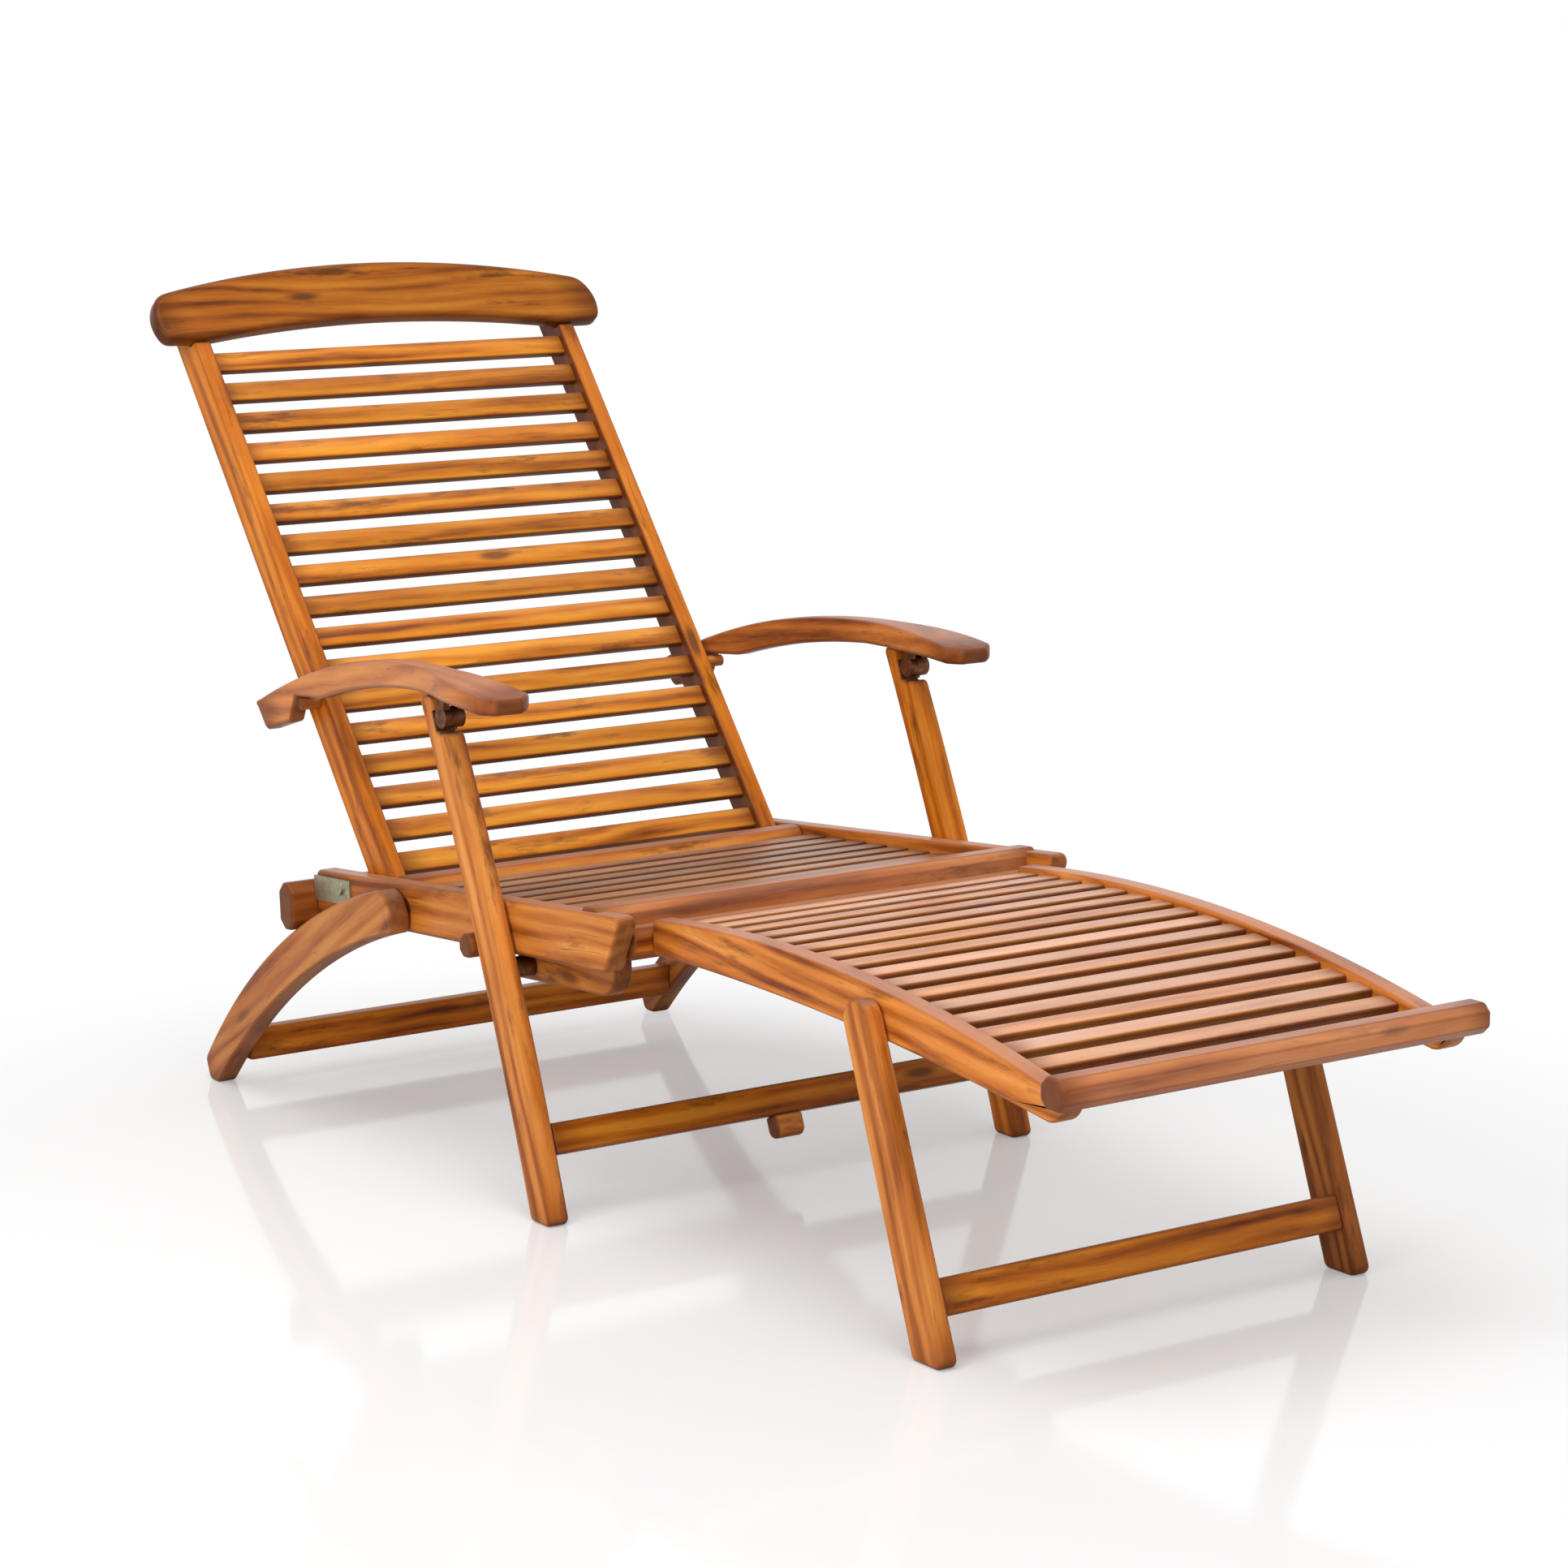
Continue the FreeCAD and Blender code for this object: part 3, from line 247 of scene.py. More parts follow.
# The first depth and the first brown paint shade into the hidden sides and undersides; the other two depths
# are for soiled edges and cut ends.
PAINTED_SHADE_DEPTH, SOIL_DEPTH, CUT_DEPTH = 0.88, 0.75, 0.65
PAINTED_SHADE_BROWN = (0.085, 0.022, 0.009)
CUT_BROWN = (0.11, 0.034, 0.012)


def used(tree, colour, patches, stains, dark, bleached_with_sheen):
    """The colour after bleaching with its painted sheen, dark ends, painted shade, soiled edges, end grain
    and the board's tone.
    """
    sky, length, painted_shade, worn, cut_end, tone = (
        attribute(tree, name).outputs["Fac"]
        for name in ("sky", "length", "painted_shade", "worn", "end_grain", "tone")
    )
    # The pale colour on up-facing faces: sun bleaching and a painted sheen of reflected white light together.
    bleach_and_sheen = math_node(tree, "MULTIPLY", sky, math_node(tree, "ADD", patches, BLEACH_AND_SHEEN_LEAST))
    colour = tinted(tree, colour, bleached_with_sheen, bleach_and_sheen)
    uneven = math_node(tree, "MULTIPLY", patches, END_RAGGED)
    ragged = math_node(tree, "ADD", math_node(tree, "ABSOLUTE", length), uneven)
    colour = tinted(tree, colour, dark, rise(tree, ragged, END_FROM, END_FULL, END_DEPTH))
    # Painted shade: the hidden sides of slats and stiles and the undersides are darkened towards a shade
    # brown.
    colour = tinted(tree, colour, PAINTED_SHADE_BROWN, math_node(tree, "MULTIPLY", painted_shade, PAINTED_SHADE_DEPTH))
    soiled = math_node(tree, "MULTIPLY", worn, math_node(tree, "MULTIPLY", stains, SOIL_DEPTH))
    colour = tinted(tree, colour, dark, soiled)
    colour = tinted(tree, colour, CUT_BROWN, math_node(tree, "MULTIPLY", cut_end, CUT_DEPTH))
    level = math_node(tree, "ADD", tone, 1.0)
    return add(tree, "ShaderNodeHueSaturation", {"Value": level, "Color": colour}).outputs[0]


print("least bleaching under the sky:", BLEACH_AND_SHEEN_LEAST)

# %% [markdown]
# The finish puts these together. Streaks and pores also give a slight relief, and the streaks vary the
# gloss. There are three finishes: slats, the frame, and a deeper one for the pieces that lie sheltered.

# %% Wood finishes
FIGURE_STOPS = (0.43, 0.60, 0.80)
PORE_SCALE, PORE_SHARE = (45.0, 900.0), 0.4
SMOOTHEST, ROUGHEST = 0.25, 0.40
WOOD_SPECULAR = 0.14


def oiled_wood(name, dark, middle, light, bleached_with_sheen):
    """A ramp turns the figure into wood colours, on which the marks and the traces of use lie."""
    material, tree, shader = new_material(name)
    swayed, streaks, patches, figure = wood_figure(tree)
    colour, stains = marked(tree, ramp(tree, figure, FIGURE_STOPS, (dark, middle, light)), swayed)
    tree.links.new(used(tree, colour, patches, stains, dark, bleached_with_sheen), shader.inputs["Base Color"])
    gloss = add(
        tree, "ShaderNodeMapRange",
        {"Value": streaks, "From Min": 0.3, "From Max": 0.7, "To Min": SMOOTHEST, "To Max": ROUGHEST},
    ).outputs[0]
    tree.links.new(gloss, shader.inputs["Roughness"])
    pores = noise(tree, stretched(tree, swayed, PORE_SCALE), 2.0).outputs["Fac"]
    relief = multiply_add(tree, pores, PORE_SHARE, streaks)
    bump = add(tree, "ShaderNodeBump", {"Height": relief, "Strength": 0.25, "Distance": 0.0006})
    tree.links.new(bump.outputs[0], shader.inputs["Normal"])
    shader.inputs["Specular IOR Level"].default_value = WOOD_SPECULAR
    return material


WOOD_COLOURS = {
    # finish: dark, middle and light of the figure, and the pale colour that it bleaches to, which also
    # carries a painted sheen on faces that look up
    "sheltered_wood": ((0.14, 0.026, 0.002), (0.52, 0.136, 0.007), (0.74, 0.26, 0.022), (0.38, 0.16, 0.08)),
    "frame_wood": ((0.15, 0.030, 0.004), (0.50, 0.145, 0.021), (0.72, 0.28, 0.060), (0.40, 0.18, 0.115)),
    "slat_wood": ((0.17, 0.036, 0.003), (0.55, 0.165, 0.009), (0.78, 0.32, 0.028), (0.66, 0.40, 0.30)),
}
finishes = {wood: oiled_wood(f"oiled_{wood}", *colours) for wood, colours in WOOD_COLOURS.items()}
print("finishes:", sorted(finishes))

# %% [markdown]
# The corner plates are plated steel that has gone dull outdoors: a pale grey with an olive cast, a soft
# gloss and faint darker blotches. The hinges, bolts and washers have browned like old bronze. Both patterns
# sit on Object coordinates, which are metres here.

# %% Metal finish
BLOTCH_SCALE, GRIT_SCALE = (140.0, 140.0), (1800.0, 1800.0)
BLOTCH_STOPS = (0.3, 0.5, 0.72)
PLATE_TONES = ((0.30, 0.29, 0.19), (0.40, 0.39, 0.27), (0.52, 0.50, 0.37))
HINGE_TONES = ((0.09, 0.032, 0.014), (0.16, 0.062, 0.028), (0.24, 0.115, 0.055))


def dull_metal(name, tones):
    """Blotches shift the colour between three tones and vary the gloss; grit gives a fine relief."""
    material, tree, shader = new_material(name)
    place = add(tree, "ShaderNodeTexCoord").outputs["Object"]
    blotches = noise(tree, stretched(tree, place, BLOTCH_SCALE), 4.0, 0.6).outputs["Fac"]
    grit = noise(tree, stretched(tree, place, GRIT_SCALE), 2.0).outputs["Fac"]
    tree.links.new(ramp(tree, blotches, BLOTCH_STOPS, tones), shader.inputs["Base Color"])
    gloss = add(tree, "ShaderNodeMapRange", {"Value": blotches, "To Min": 0.62, "To Max": 0.36}).outputs[0]
    tree.links.new(gloss, shader.inputs["Roughness"])
    bump = add(tree, "ShaderNodeBump", {"Height": grit, "Strength": 0.15, "Distance": 0.0003})
    tree.links.new(bump.outputs[0], shader.inputs["Normal"])
    shader.inputs["Metallic"].default_value = 1.0
    return material


plate_metal = dull_metal("dull_plated_steel", PLATE_TONES)
hinge_metal = dull_metal("browned_hinge_metal", HINGE_TONES)
for node, slot in slot_of.items():
    if slot == "hardware":
        metal = plate_metal if node.startswith("corner_plate") else hinge_metal
        frame["nodes"][node].data.materials.clear()
        frame["nodes"][node].data.materials.append(metal)
print("metal nodes:", sum(slot == "hardware" for slot in slot_of.values()))

# %% [markdown]
# Each wooden solid is a plank or bar of one outline. Its outline is read back from the solid: the loose
# triangles are merged, split into separate boards, and the edge of one flat end face is followed round.
# That keeps the dressed piece exactly where the solid is, whatever its size.

# %% Boards of a node
FLAT_WITHIN = 2e-5


def boards_of(node):
    """Merge equal corners, then give each group of touching triangles the lowest number in it."""
    mesh = frame["nodes"][node].data
    mesh.calc_loop_triangles()
    corners = np.empty(len(mesh.vertices) * 3, np.float32)
    mesh.vertices.foreach_get("co", corners)
    triangles = np.empty(len(mesh.loop_triangles) * 3, np.int32)
    mesh.loop_triangles.foreach_get("vertices", triangles)
    points, place = np.unique(np.round(corners.reshape(-1, 3), 6), axis=0, return_inverse=True)
    triangles = place.ravel()[triangles].reshape(-1, 3)
    group = np.arange(len(points))
    settled = False
    while not settled:
        spread = group.copy()
        np.minimum.at(spread, triangles.ravel(), np.repeat(group[triangles].min(axis=1), 3))
        settled = np.array_equal(spread, group)
        group = spread
    owner = group[triangles[:, 0]]
    return [(points.astype(float), triangles[owner == number]) for number in np.unique(owner)]


def axes_about(axis):
    """Two directions across an axis that make a right-handed set with it."""
    across = np.array([0.0, 0.0, 1.0]) if abs(axis[1]) > 0.9 else np.array([0.0, 1.0, 0.0])
    first = across - axis * (across @ axis)
    first /= np.linalg.norm(first)
    return first, np.cross(axis, first)


def outline_of(points, triangles, axis):
    """The outer edge of the end face along an axis, anticlockwise, and the board's reach along the axis."""
    first, second = axes_about(axis)
    height = points @ axis
    low, high = height[triangles].min(), height[triangles].max()
    face = triangles[(height[triangles] > high - FLAT_WITHIN).all(axis=1)]
    edges = np.concatenate([face[:, [0, 1]], face[:, [1, 2]], face[:, [2, 0]]])
    shared = {(b, a) for a, b in edges.tolist()}
    following = {a: b for a, b in edges.tolist() if (a, b) not in shared}
    loops = []
    while following:
        start, step = following.popitem()
        loop = [start]
        while step != start:
            loop.append(step)
            step = following.pop(step)
        loops.append(np.stack([points[loop] @ first, points[loop] @ second], axis=1))
    return max(loops, key=lambda loop: np.ptp(loop, axis=0).sum()), low, high


print("boards in the back:", len(boards_of("back_slats")))

# %% [markdown]
# A sharp corner never survives on outdoor wood. Two steps ease it: every corner of the outline becomes an
# arc, and a quarter round is carried along the whole outline where the sides meet the faces. A Bevel modifier
# could do the same, but here each point also has to know how worn it is and how much bleaching, painted sheen
# and painted shade it takes, and that is simplest while the normals are still plain arrays.

# %% Eased outline
ARC_STEPS = 5
SHARP = math.radians(20.0)
ARC_SHARE = 0.45


def eased(outline, radius):
    """Each corner that turns more than SHARP becomes an arc that touches both its sides.

    The arc's centre is one radius away from both sides. A corner on a curve keeps its single point.
    Returns the points and, for each, how far it is into an arc (0 on a side, 1 in the middle).
    """
    before, after = np.roll(outline, 1, axis=0), np.roll(outline, -1, axis=0)
    into, out_of = outline - before, after - outline
    long_in, long_out = np.linalg.norm(into, axis=1), np.linalg.norm(out_of, axis=1)
    into, out_of = into / long_in[:, None], out_of / long_out[:, None]
    turn = np.arctan2(into[:, 0] * out_of[:, 1] - into[:, 1] * out_of[:, 0], (into * out_of).sum(axis=1))
    half = np.tan(np.abs(turn) / 2).clip(1e-6)
    reach = np.minimum(radius * half, ARC_SHARE * np.minimum(long_in, long_out))
    share = np.linspace(0.0, 1.0, ARC_STEPS)
    bend = np.abs(turn[:, None] * share)[:, :, None]
    side = np.sign(turn)[:, None, None]
    inward = np.stack([-into[:, 1], into[:, 0]], axis=1)[:, None, :] * side
    ahead = into[:, None, :]
    size = (reach / half)[:, None, None]
    start = (outline - into * reach[:, None])[:, None, :]
    arcs = start + size * (ahead * np.sin(bend) + inward * (1.0 - np.cos(bend)))
    sharp = np.abs(turn) > SHARP
    keep = sharp[:, None] | (np.arange(ARC_STEPS) == ARC_STEPS // 2)
    arcs = np.where(sharp[:, None, None], arcs, outline[:, None, :])
    middle = np.where(sharp[:, None], np.sin(share * math.pi), 0.0)
    return arcs[keep], middle[keep]


def outward(loop):
    """The outward normal at each point of an anticlockwise loop: halfway between its two sides' normals."""
    sides = np.roll(loop, -1, axis=0) - loop
    sides /= np.linalg.norm(sides, axis=1).clip(1e-9)[:, None]
    normals = np.stack([sides[:, 1], -sides[:, 0]], axis=1)
    normals = normals + np.roll(normals, 1, axis=0)
    return normals / np.linalg.norm(normals, axis=1)[:, None]


square = np.array([[0.0, 0.0], [0.04, 0.0], [0.04, 0.02], [0.0, 0.02]])
print("points round an eased square:", len(eased(square, 0.003)[0]))

# %% [markdown]
# A board is a stack of rings. The first and last rings are the faces' edges, drawn in by the round-over;
# the rings between them follow a quarter circle out to the full outline. The rings are one array, ring by
# point by xyz, so the same few lines close any stack with quads and two caps.

# %% Rings into a mesh
ROUND_STEPS = 5
EDGE_SHARE = 0.45


def plank_rings(points, triangles, axis, corner, edge, shape=eased):
    """Carry a quarter round along the outline at both faces.

    At angle a of the quarter circle the outline is drawn in by edge * (1 - sin a) and lies
    edge * (1 - cos a) below the face. Returns points, normals and wear, ring by ring from the top.
    """
    outline, low, high = outline_of(points, triangles, axis)
    loop, arc_wear = shape(outline, corner)
    side = outward(loop)
    edge = min(edge, (high - low) * EDGE_SHARE)
    angle = np.linspace(0.0, math.pi / 2, ROUND_STEPS)
    inset = edge * (1.0 - np.sin(angle))
    drop = edge * (1.0 - np.cos(angle))
    level = np.concatenate([high - drop, (low + drop)[::-1]])
    inset = np.concatenate([inset, inset[::-1]])
    lean = np.concatenate([np.cos(angle), -np.cos(angle)[::-1]])
    first, second = axes_about(axis)
    flat = loop[None] - side[None] * inset[:, None, None]
    rings = flat[..., :1] * first + flat[..., 1:] * second + level[:, None, None] * axis
    tilt = np.sqrt(1.0 - lean**2)[:, None, None]
    normals = tilt * (side[:, :1] * first + side[:, 1:] * second)[None] + lean[:, None, None] * axis
    edge_wear = np.sin(2.0 * np.abs(np.arcsin(lean)))
    wear = np.maximum(edge_wear[:, None], arc_wear[None] * tilt[..., 0])
    return rings, normals, wear


def ring_faces(count, size, start):
    """Quads between neighbouring rings, and one cap at each end, numbered from start."""
    here = (np.arange(count - 1)[:, None] * size + np.arange(size)).ravel()
    beside = (np.arange(count - 1)[:, None] * size + (np.arange(size) + 1) % size).ravel()
    quads = np.stack([here, here + size, beside + size, beside], axis=1) + start
    last = start + (count - 1) * size
    caps = [list(range(start, start + size)), list(range(last + size - 1, last - 1, -1))]
    return quads.tolist(), caps


print("faces in a stack of 10 rings of 20:", len(ring_faces(10, 20, 0)[0]) + 2)

# %% [markdown]
# The grain coordinates of a board come from its own shape: the direction in which the board is longest is
# found from its points, and the board is moved to a place of its own inside an imaginary log. The offset
# across decides how far from the heart of the log it was sawn, so some boards show flat bands and others
# straight lines. Each direction could point either way. On a board that lies square across the chair only
# rounding would decide, so a digit for each board settles it, as a maker settles which way to lay a board.
# The other attributes follow from the way each point faces; among them is painted shade on the hidden sides
# of slats and stiles and on undersides. Some pieces are special: on some bars and arms the dark band at the
# ends reaches further along, partly as real darkening and partly as painted shade where those ends lie in
# shadow, and a few pieces take the pale bleached colour with its painted sheen on their sides too.

# %% Grain and attributes
rng = np.random.default_rng(41)
# A digit for each board in the order of dressing: 1 reverses its length, 2 its width and 4 its thickness
turns = cycle("073477447744474444441172735553515050650066002445543326553503666554255153")
LOG_HALF = 4.0
HEART_NEAR, HEART_FAR, HEART_SIDE = 0.03, 0.10, 0.05
# Slats take most of the pale colour of bleaching and painted sheen, each slat a little more or less.
SLAT_BLEACH_AND_SHEEN, BLEACH_AND_SHEEN_SPREAD = 0.82, 0.07
# How strongly undersides are painted darker, as shade.
UNDERSIDE_PAINTED_SHADE = 0.75
CUT_FROM, CUT_SPAN = 0.55, 0.4
SKY_FROM, SKY_SPAN = 0.65, 0.3
# How far along the ends darken on some bars and arms; this is partly real darkening and partly painted shade
# where the ends lie in shadow.
DARK_END_REACH = {
    "arm": 1.13, "footrest_front_bar": 1.06, "rear_bar": 1.12, "stop_bar": 1.25, "crest_rail": 1.05,
}
# Pieces that take part of the pale colour of bleaching and painted sheen on their sides as well.
BLEACH_AND_SHEEN_SIDES = {
    "arm_left": 0.08, "arm_right": 0.35, "footrest_front_bar": 0.6, "seat_front_rail": 0.45, "rear_leg": 0.2,
}


def kind_of(node):
    """The node's name without its side."""
    return node.removesuffix("_left").removesuffix("_right")


def of_piece(table, node, other=None):
    """What a table says of a node, or else of its kind."""
    return table.get(node, table.get(kind_of(node), other))


def grain_axes(points):
    """The principal directions of a board's points, longest first, as rows.

    Each is made to point along its largest part, and is then reversed if the board's digit says so.
    """
    spread = points - points.mean(axis=0)
    axes = np.linalg.eigh(spread.T @ spread)[1][:, ::-1].T
    largest = np.abs(axes).argmax(axis=1)
    ahead = np.sign(axes[np.arange(3), largest])
    back = (int(next(turns)) >> np.arange(3)) & 1
    return axes * (ahead * (1 - 2 * back))[:, None]


def board_fields(node, points, facing, wear, tone, variety):
    """The attributes of one board's points. Three draws place it in its log, and a fourth varies its tone."""
    axes = grain_axes(points)
    heart = np.array([
        rng.uniform(-LOG_HALF, LOG_HALF),
        rng.uniform(HEART_NEAR, HEART_FAR),
        rng.uniform(-HEART_SIDE, HEART_SIDE),
    ])
    own = (points - points.mean(axis=0)) @ axes.T
    # Longer dark ends on some bars and arms: partly painted shade on ends that lie in shadow.
    reach = of_piece(DARK_END_REACH, node, 1.0)
    # Faces that look up take the pale colour of bleaching and painted sheen; some pieces take part of it on
    # their sides too.
    sky = ((facing[:, 2] - SKY_FROM) / SKY_SPAN).clip(of_piece(BLEACH_AND_SHEEN_SIDES, node, 0.0), 1)
    # Painted shade: the sides of slats, the inner faces of stiles and every underside are marked to be
    # painted darker.
    side_shade = np.zeros(len(points))
    if slot_of[node] == "slat_wood":
        side_shade = np.sqrt((1.0 - (facing @ axes[2]) ** 2).clip(0, 1))
        wear = np.zeros_like(wear)
        sky = sky * (SLAT_BLEACH_AND_SHEEN + heart[0] * BLEACH_AND_SHEEN_SPREAD)
    elif node.startswith("stile"):
        side_shade = (-facing[:, 1] * np.sign(points[:, 1].mean())).clip(0, 1) ** 2
    return {
        "grain": own + heart,
        "tone": np.full(len(points), tone + rng.uniform(-variety, variety)),
        "end_grain": ((np.abs(facing @ axes[0]) - CUT_FROM) / CUT_SPAN).clip(0, 1),
        "worn": wear.ravel(),
        "sky": sky,
        "length": reach * own[:, 0] / np.abs(own[:, 0]).max(),
        "painted_shade": np.maximum(side_shade, UNDERSIDE_PAINTED_SHADE * (-facing[:, 2]).clip(0, 1)),
    }


print("pieces with handled ends:", len(DARK_END_REACH))

# %% [markdown]
# To dress a node is to turn its stacks of rings into one mesh, write the attributes on it, give it its
# finish, and let it ride on the node's body in the node's place.

# %% Dressing
SHELTERED = ("stile", "crest_rail", "front_leg_left", "footrest_hinge_bar")
BOARD_VARIETY = 0.06


def dress(node, stacks, tone, variety=BOARD_VARIETY):
    """Make one piece from stacks of rings, with its attributes, and let it stand for the CAD node."""
    corners, quads, caps, boards = [], [], [], []
    start = 0
    for rings, normals, wear in stacks:
        points = rings.reshape(-1, 3)
        boards.append(board_fields(node, points, normals.reshape(-1, 3), wear, tone, variety))
        stack_quads, stack_caps = ring_faces(*rings.shape[:2], start)
        corners.append(points)
        quads += stack_quads
        caps += stack_caps
        start += len(points)
    mesh = bpy.data.meshes.new(f"{node}_wood")
    mesh.from_pydata(np.concatenate(corners).tolist(), [], quads + caps)
    mesh.polygons.foreach_set("use_smooth", np.arange(len(quads) + len(caps)) < len(quads))
    for name in boards[0]:
        kind, value = ("FLOAT_VECTOR", "vector") if name == "grain" else ("FLOAT", "value")
        layer = mesh.attributes.new(name, kind, "POINT")
        whole = np.concatenate([fields[name] for fields in boards])
        layer.data.foreach_set(value, whole.ravel().astype(np.float32))
    mesh.update()
    sheltered = node.startswith(SHELTERED) or node.endswith("stretcher")
    mesh.materials.append(finishes["sheltered_wood" if sheltered else slot_of[node]])
    piece = bpy.data.objects.new(f"{node}_wood", mesh)
    bpy.context.scene.collection.objects.link(piece)
    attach(piece, body_of[node])
    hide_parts(node)
    return piece


dressed = []
print("ready to dress:", sum(slot != "hardware" for slot in slot_of.values()), "wooden nodes")

# %% [markdown]
# Most pieces are sawn planks and bars whose outline lies across the chair, so their stacks run along Y,
# outwards. Each kind of piece has its own easing: feet and bar ends are well rounded, slats only just. The
# tones set near and far, sheltered and sunlit pieces apart, as in the photograph; the darker tones of far and
# shadowed pieces, such as the far footrest leg, are painted shade.

# %% Planks and bars
ACROSS = np.array([0.0, 1.0, 0.0])
MM = 0.001
SLAT_VARIETY = 0.15
EASING = {
    # kind or node: corner radius and edge radius in mm, tone (partly at random, partly painted shade on far
    # and shadowed pieces)
    "seat_rail": (9.0, 4.0, 0.02),
    "seat_front_rail": (6.0, 4.0, -0.02),
    "seat_slats": (3.0, 2.0, -0.36),
    "rear_bar": (4.0, 3.5, -0.04),
    "stop_bar": (3.0, 3.0, -0.10),
    "leg_hanger": (4.0, 3.0, -0.10),
    "rear_leg": (9.0, 4.0, -0.13),
    "rear_stretcher": (4.0, 2.0, -0.05),
    "stile": (4.0, 3.0, 0.06),
    "arm_peg": (1.0, 1.5, -0.05),
    "back_slats": (2.5, 1.0, 0.07),
    "back_hinge_bar": (4.0, 3.0, -0.02),
    "front_leg_left": (7.0, 4.0, 0.0),
    "front_leg_right": (7.0, 4.0, 0.12),
    "front_stretcher": (4.0, 2.0, -0.30),
    "stretcher_catch": (3.0, 3.0, -0.08),
    "footrest_rail": (4.0, 3.0, 0.17),
    "footrest_hinge_bar": (4.0, 3.0, 0.0),
    "footrest_front_bar": (5.0, 5.0, 0.02),
    "footrest_slats": (3.0, 1.5, 0.16),
    # The far footrest leg is toned much darker as painted shade.
    "footrest_leg_left": (8.0, 3.5, -0.40),
    "footrest_leg_right": (8.0, 3.5, 0.04),
    "footrest_leg_stretcher": (4.0, 2.0, -0.24),
}
for node in sorted(slot_of):
    easing = of_piece(EASING, node)
    if easing:
        corner, edge, tone = easing
        outside = -ACROSS if node.endswith("_right") else ACROSS
        stacks = [plank_rings(*board, outside, corner * MM, edge * MM) for board in boards_of(node)]
        variety = SLAT_VARIETY if slot_of[node] == "slat_wood" else BOARD_VARIETY
        dressed.append(dress(node, stacks, tone, variety))
print("planks and bars:", len(dressed))

# %% [markdown]
# The crest rail lies in the slope of the back, so its stack runs along the direction that the back faces.
# A head rests on it: its edges are rounded more than any others, and its outline is smoothed into
# one flowing curve. Averaging along the outline with a bell curve does that, and a product of two Fourier
# transforms is the quickest way to average round a closed loop.

# %% Crest rail
CREST_REACH, CREST_EDGE, CREST_TONE = 13 * MM, 6 * MM, -0.42
CREST_STEP = 2.5 * MM


def softened(outline, reach):
    """The outline in even steps, averaged along its length with a bell curve.

    Straight stretches stay straight and corners turn into curves about twice as long as the reach.
    Returns the points and, for each, how sharply the outline turns there (0 straight, 1 hardest).
    """
    closed = np.vstack([outline, outline[:1]])
    along = np.concatenate([[0.0], np.cumsum(np.linalg.norm(np.diff(closed, axis=0), axis=1))])
    count = int(along[-1] / CREST_STEP)
    step = along[-1] / count
    number = np.arange(count)
    even = np.stack([np.interp(number * step, along, closed[:, k]) for k in range(2)], axis=1)
    away = np.minimum(number, count - number) * step
    bell = np.exp(-2.0 * (away / reach) ** 2)
    spectrum = np.fft.rfft(bell / bell.sum())[:, None]
    loop = np.fft.irfft(np.fft.rfft(even, axis=0) * spectrum, count, axis=0)
    bend = np.linalg.norm(np.roll(loop, 1, axis=0) + np.roll(loop, -1, axis=0) - 2.0 * loop, axis=1)
    return loop, bend / bend.max()


def widest_face(points, triangles):
    """The outward normal of the triangle of largest area."""
    a, b, c = (points[triangles[:, k]] for k in range(3))
    normals = np.cross(b - a, c - a)
    areas = np.linalg.norm(normals, axis=1)
    return normals[areas.argmax()] / areas.max()


crest_board = boards_of("crest_rail")[0]
crest_facing = widest_face(*crest_board)
crest_rings = plank_rings(*crest_board, crest_facing, CREST_REACH, CREST_EDGE, softened)
dressed.append(dress("crest_rail", [crest_rings], CREST_TONE))
print("crest rail faces:", crest_facing.round(3).tolist())

# %% [markdown]
# An arm is no flat plank: seen from above it sweeps outwards to a wide paddle, and seen from the side it
# arches and thins to the tip. Its solid is sliced along X, and each slice becomes a rounded rectangle.
# Rounded rectangles follow one another smoothly, so this is a profile of changing size carried along the
# arm.

# %% Arms
ARM_SLICES = 90
ARM_ROUND = 5 * MM
# The far arm, on the left, is toned darker than the near one as painted shade.
ARM_TONES = {"arm_left": -0.08, "arm_right": 0.14}
ARM_WEAR = 0.8
CURL_SHARE = 0.48


def slices(points, triangles, stations):
    """Lowest and highest Y and Z where a solid's edges cross each plane of constant X."""
    ends = points[np.stack([triangles, np.roll(triangles, -1, axis=1)], axis=-1)].reshape(-1, 2, 3)
    a, b = ends[:, 0], ends[:, 1]
    span = np.where(np.abs(b[:, 0] - a[:, 0]) < 1e-9, 1e-9, b[:, 0] - a[:, 0])
    share = (stations[:, None] - a[:, 0]) / span
    crossed = (share >= 0.0) & (share <= 1.0)
    places = a[:, 1:] + share[..., None] * (b - a)[:, 1:]
    low = np.where(crossed[..., None], places, np.inf).min(axis=1)
    high = np.where(crossed[..., None], places, -np.inf).max(axis=1)
    return low, high


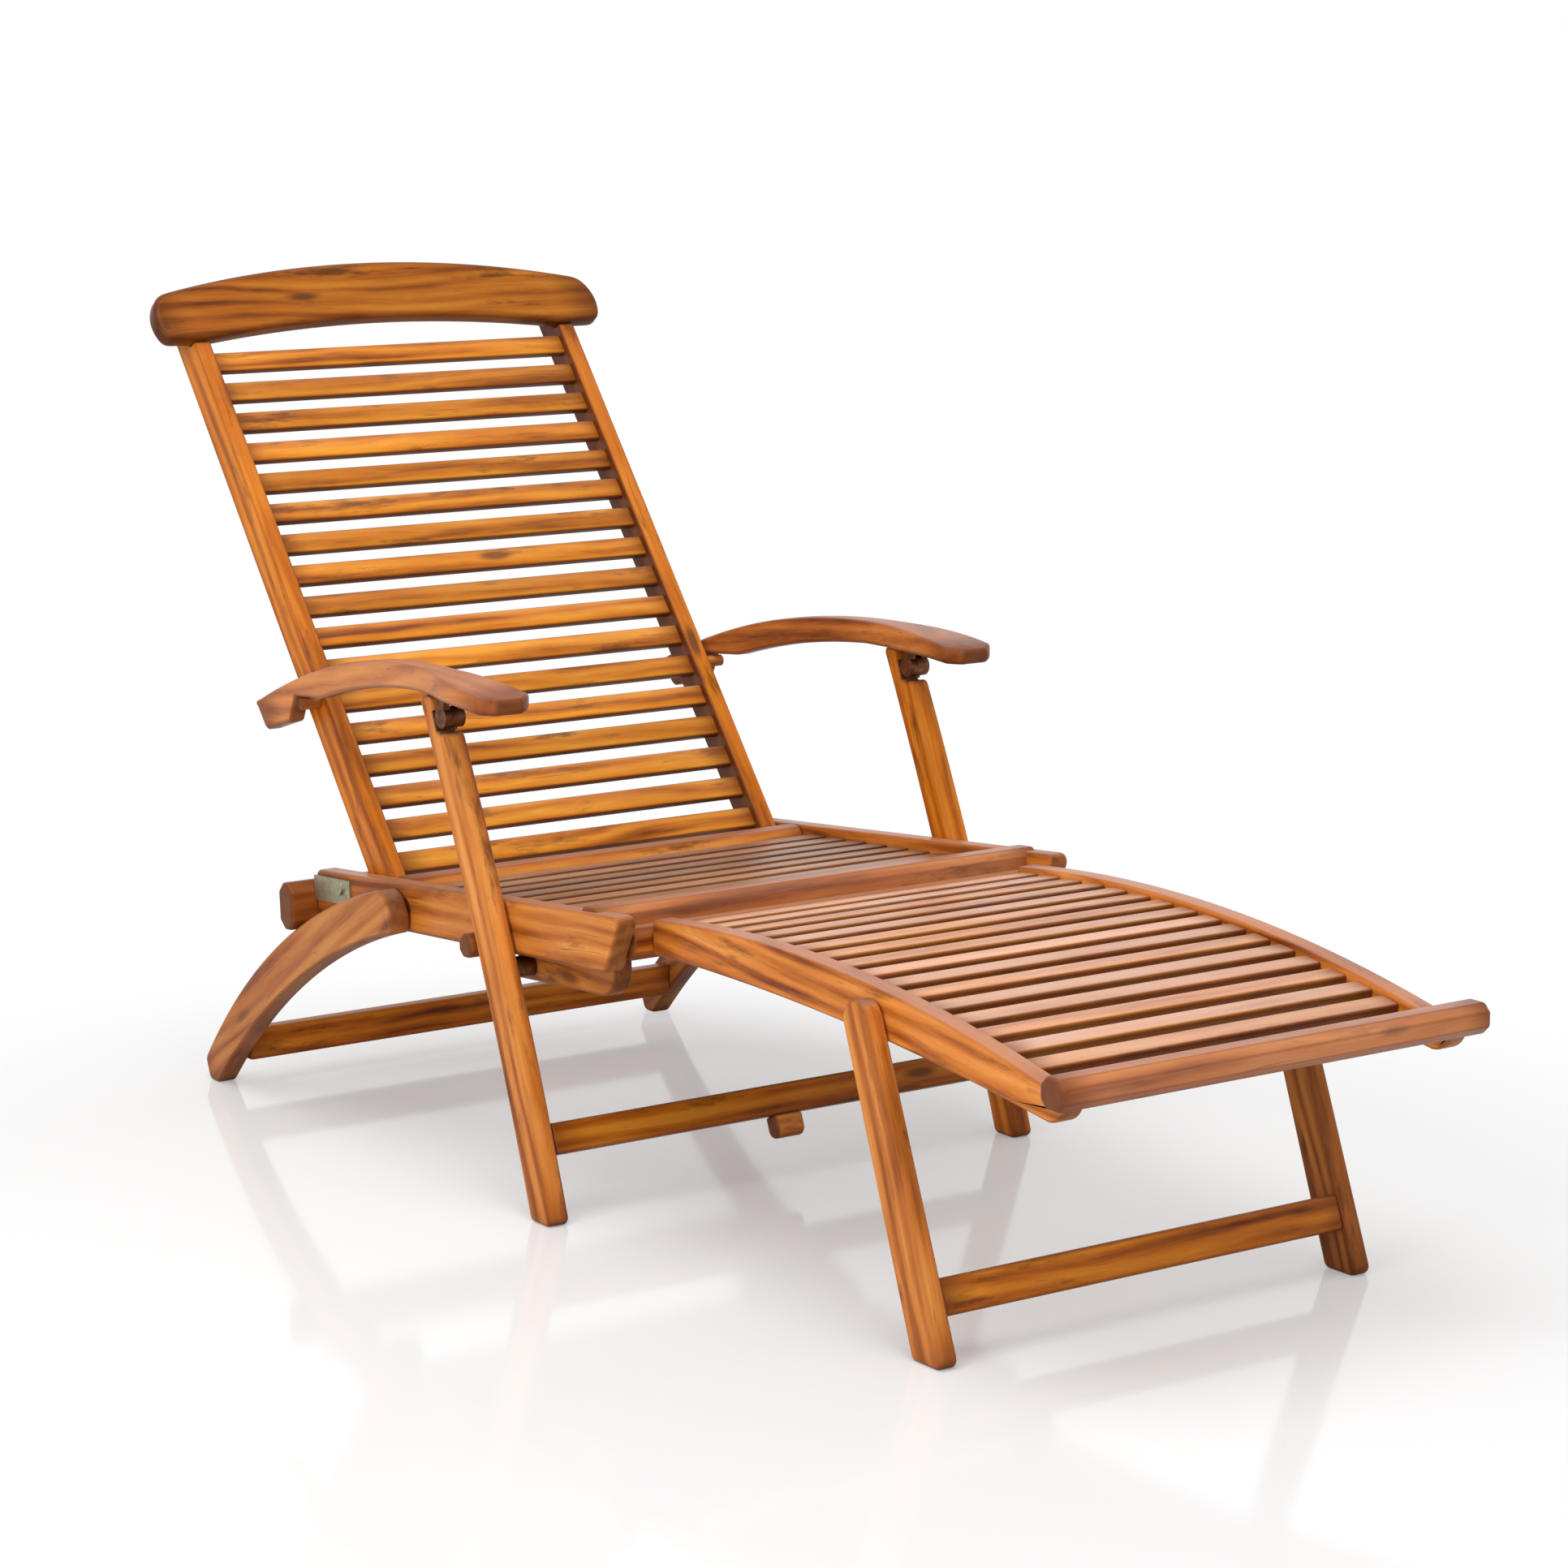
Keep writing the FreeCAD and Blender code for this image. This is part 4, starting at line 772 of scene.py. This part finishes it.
def arm_rings(points, triangles, radius):
    """Rounded rectangles along X, from the tip to the rear, with a quarter round at each end.

    A rounded rectangle is four quarter circles about its inset corners: the corner's centre plus
    radius * (cos a, sin a).
    """
    used_points = points[triangles.ravel()]
    rear, tip = used_points[:, 0].min(), used_points[:, 0].max()
    wave = (1.0 - np.cos(np.linspace(0.0, math.pi, ARM_SLICES))) / 2.0
    stations = tip - radius - (tip - rear - 2 * radius) * wave
    low, high = slices(points, triangles, stations)
    angle = np.linspace(0.0, math.pi / 2, ROUND_STEPS)
    inset = radius * (1.0 - np.sin(angle))
    drop = radius * (1.0 - np.cos(angle))
    pad = ROUND_STEPS - 1
    stations = np.concatenate([tip - drop[:-1], stations, (rear + drop[:-1])[::-1]])
    draw = np.concatenate([inset[:-1], np.zeros(ARM_SLICES), inset[:-1][::-1]])[:, None]
    low = np.pad(low, ((pad, pad), (0, 0)), "edge") + draw
    high = np.pad(high, ((pad, pad), (0, 0)), "edge") - draw
    curl = np.minimum(radius, CURL_SHARE * (high - low).min(axis=1))[:, None]
    quarter = np.linspace(0.0, math.pi / 2, ARC_STEPS)
    turn = (np.arange(4)[:, None] * math.pi / 2 + quarter).ravel()
    right = np.repeat([True, False, False, True], ARC_STEPS)
    top = np.repeat([True, True, False, False], ARC_STEPS)
    y = np.where(right, high[:, :1] - curl, low[:, :1] + curl) + curl * np.cos(turn)
    z = np.where(top, high[:, 1:] - curl, low[:, 1:] + curl) + curl * np.sin(turn)
    rings = np.stack([np.broadcast_to(stations[:, None], y.shape), y, z], axis=-1)
    lean = np.concatenate([np.cos(angle[:-1]), np.zeros(ARM_SLICES), -np.cos(angle[:-1])[::-1]])[:, None]
    tilt = np.sqrt(1.0 - lean**2)
    normals = np.stack(np.broadcast_arrays(lean, tilt * np.cos(turn), tilt * np.sin(turn)), axis=-1)
    wear = np.broadcast_to(np.tile(np.sin(2 * quarter), 4), y.shape) * ARM_WEAR
    return rings, normals, wear


for node, tone in ARM_TONES.items():
    dressed.append(dress(node, [arm_rings(*boards_of(node)[0], ARM_ROUND)], tone))
print("wooden pieces:", len(dressed))

# %% [markdown]
# The floor is a plain pale sheet with a slight gloss, like a studio table. Close to the chair it takes
# shadow and a soft mirror image; further out it fades to the white of the background. Only the camera sees
# that fade, so the light stays as it is.

# %% Floor
FLOOR_HALF = 9.0
FLOOR_COLOUR = (0.88, 0.88, 0.88, 1.0)
WHITE = (1.0, 1.0, 1.0, 1.0)
FADE_CENTRE, FADE_FROM, FADE_FULL, FADE_LEAST = (0.30, -0.25, 0.0), 0.65, 1.45, 0.22

mesh = bpy.data.meshes.new("studio_floor")
corner_signs = np.array([[-1, -1, 0], [1, -1, 0], [1, 1, 0], [-1, 1, 0]])
mesh.from_pydata((corner_signs * FLOOR_HALF).tolist(), [], [(0, 1, 2, 3)])
floor = bpy.data.objects.new("studio_floor", mesh)
bpy.context.scene.collection.objects.link(floor)

material, tree, shader = new_material("pale_floor")
shader.inputs["Base Color"].default_value = FLOOR_COLOUR
shader.inputs["Roughness"].default_value = 0.09
shader.inputs["Specular IOR Level"].default_value = 0.28
place = add(tree, "ShaderNodeTexCoord").outputs["Object"]
away = add(tree, "ShaderNodeVectorMath", {0: place, 1: FADE_CENTRE}, operation="DISTANCE")
fade = rise(tree, away.outputs["Value"], FADE_FROM, FADE_FULL)
lift = math_node(tree, "MAXIMUM", fade, FADE_LEAST)
seen = add(tree, "ShaderNodeLightPath").outputs["Is Camera Ray"]
white = add(tree, "ShaderNodeEmission", {"Color": WHITE, "Strength": 1.0})
blend = add(tree, "ShaderNodeMixShader", {
    0: math_node(tree, "MULTIPLY", lift, seen), 1: shader.outputs[0], 2: white.outputs[0],
})
tree.links.new(blend.outputs[0], tree.nodes["Material Output"].inputs["Surface"])
mesh.materials.append(material)
print("floor metres across:", 2 * FLOOR_HALF)

# %% [markdown]
# The world is white to the camera and to reflections, and lights the wood at a lower level. Three large
# soft lamps add to it: one overhead, which gives the shadow under the seat, and two weaker ones that fill
# the front and the near side.

# %% World and lamps
AMBIENT = 0.55

world = bpy.data.worlds.new("white_studio")
bpy.context.scene.world = world
world.use_nodes = True
tree = world.node_tree
path = add(tree, "ShaderNodeLightPath").outputs
shown = math_node(tree, "MAXIMUM", path["Is Camera Ray"], path["Is Glossy Ray"])
shown = math_node(tree, "MAXIMUM", shown, path["Is Transmission Ray"])
level = add(tree, "ShaderNodeMapRange", {"Value": shown, "To Min": AMBIENT, "To Max": 1.0}).outputs[0]
tree.links.new(level, tree.nodes["Background"].inputs["Strength"])
tree.nodes["Background"].inputs["Color"].default_value = WHITE


def soft_lamp(name, place, target, size, power):
    """A square area lamp that faces a target point; metres and watts."""
    data = bpy.data.lights.new(name, "AREA")
    data.size = size
    data.energy = power
    lamp = bpy.data.objects.new(name, data)
    bpy.context.scene.collection.objects.link(lamp)
    lamp.location = place
    lamp.rotation_euler = (Vector(target) - Vector(place)).to_track_quat("-Z", "Y").to_euler()


soft_lamp("overhead_softbox", (0.6, -0.8, 3.2), (0.0, 0.0, 0.3), 2.4, 55.0)
soft_lamp("front_fill", (3.2, -0.6, 1.6), (0.0, 0.0, 0.5), 1.8, 20.0)
soft_lamp("side_fill", (0.9, -3.4, 1.4), (0.0, 0.0, 0.4), 2.0, 38.0)
bpy.context.scene.view_settings.view_transform = "Standard"
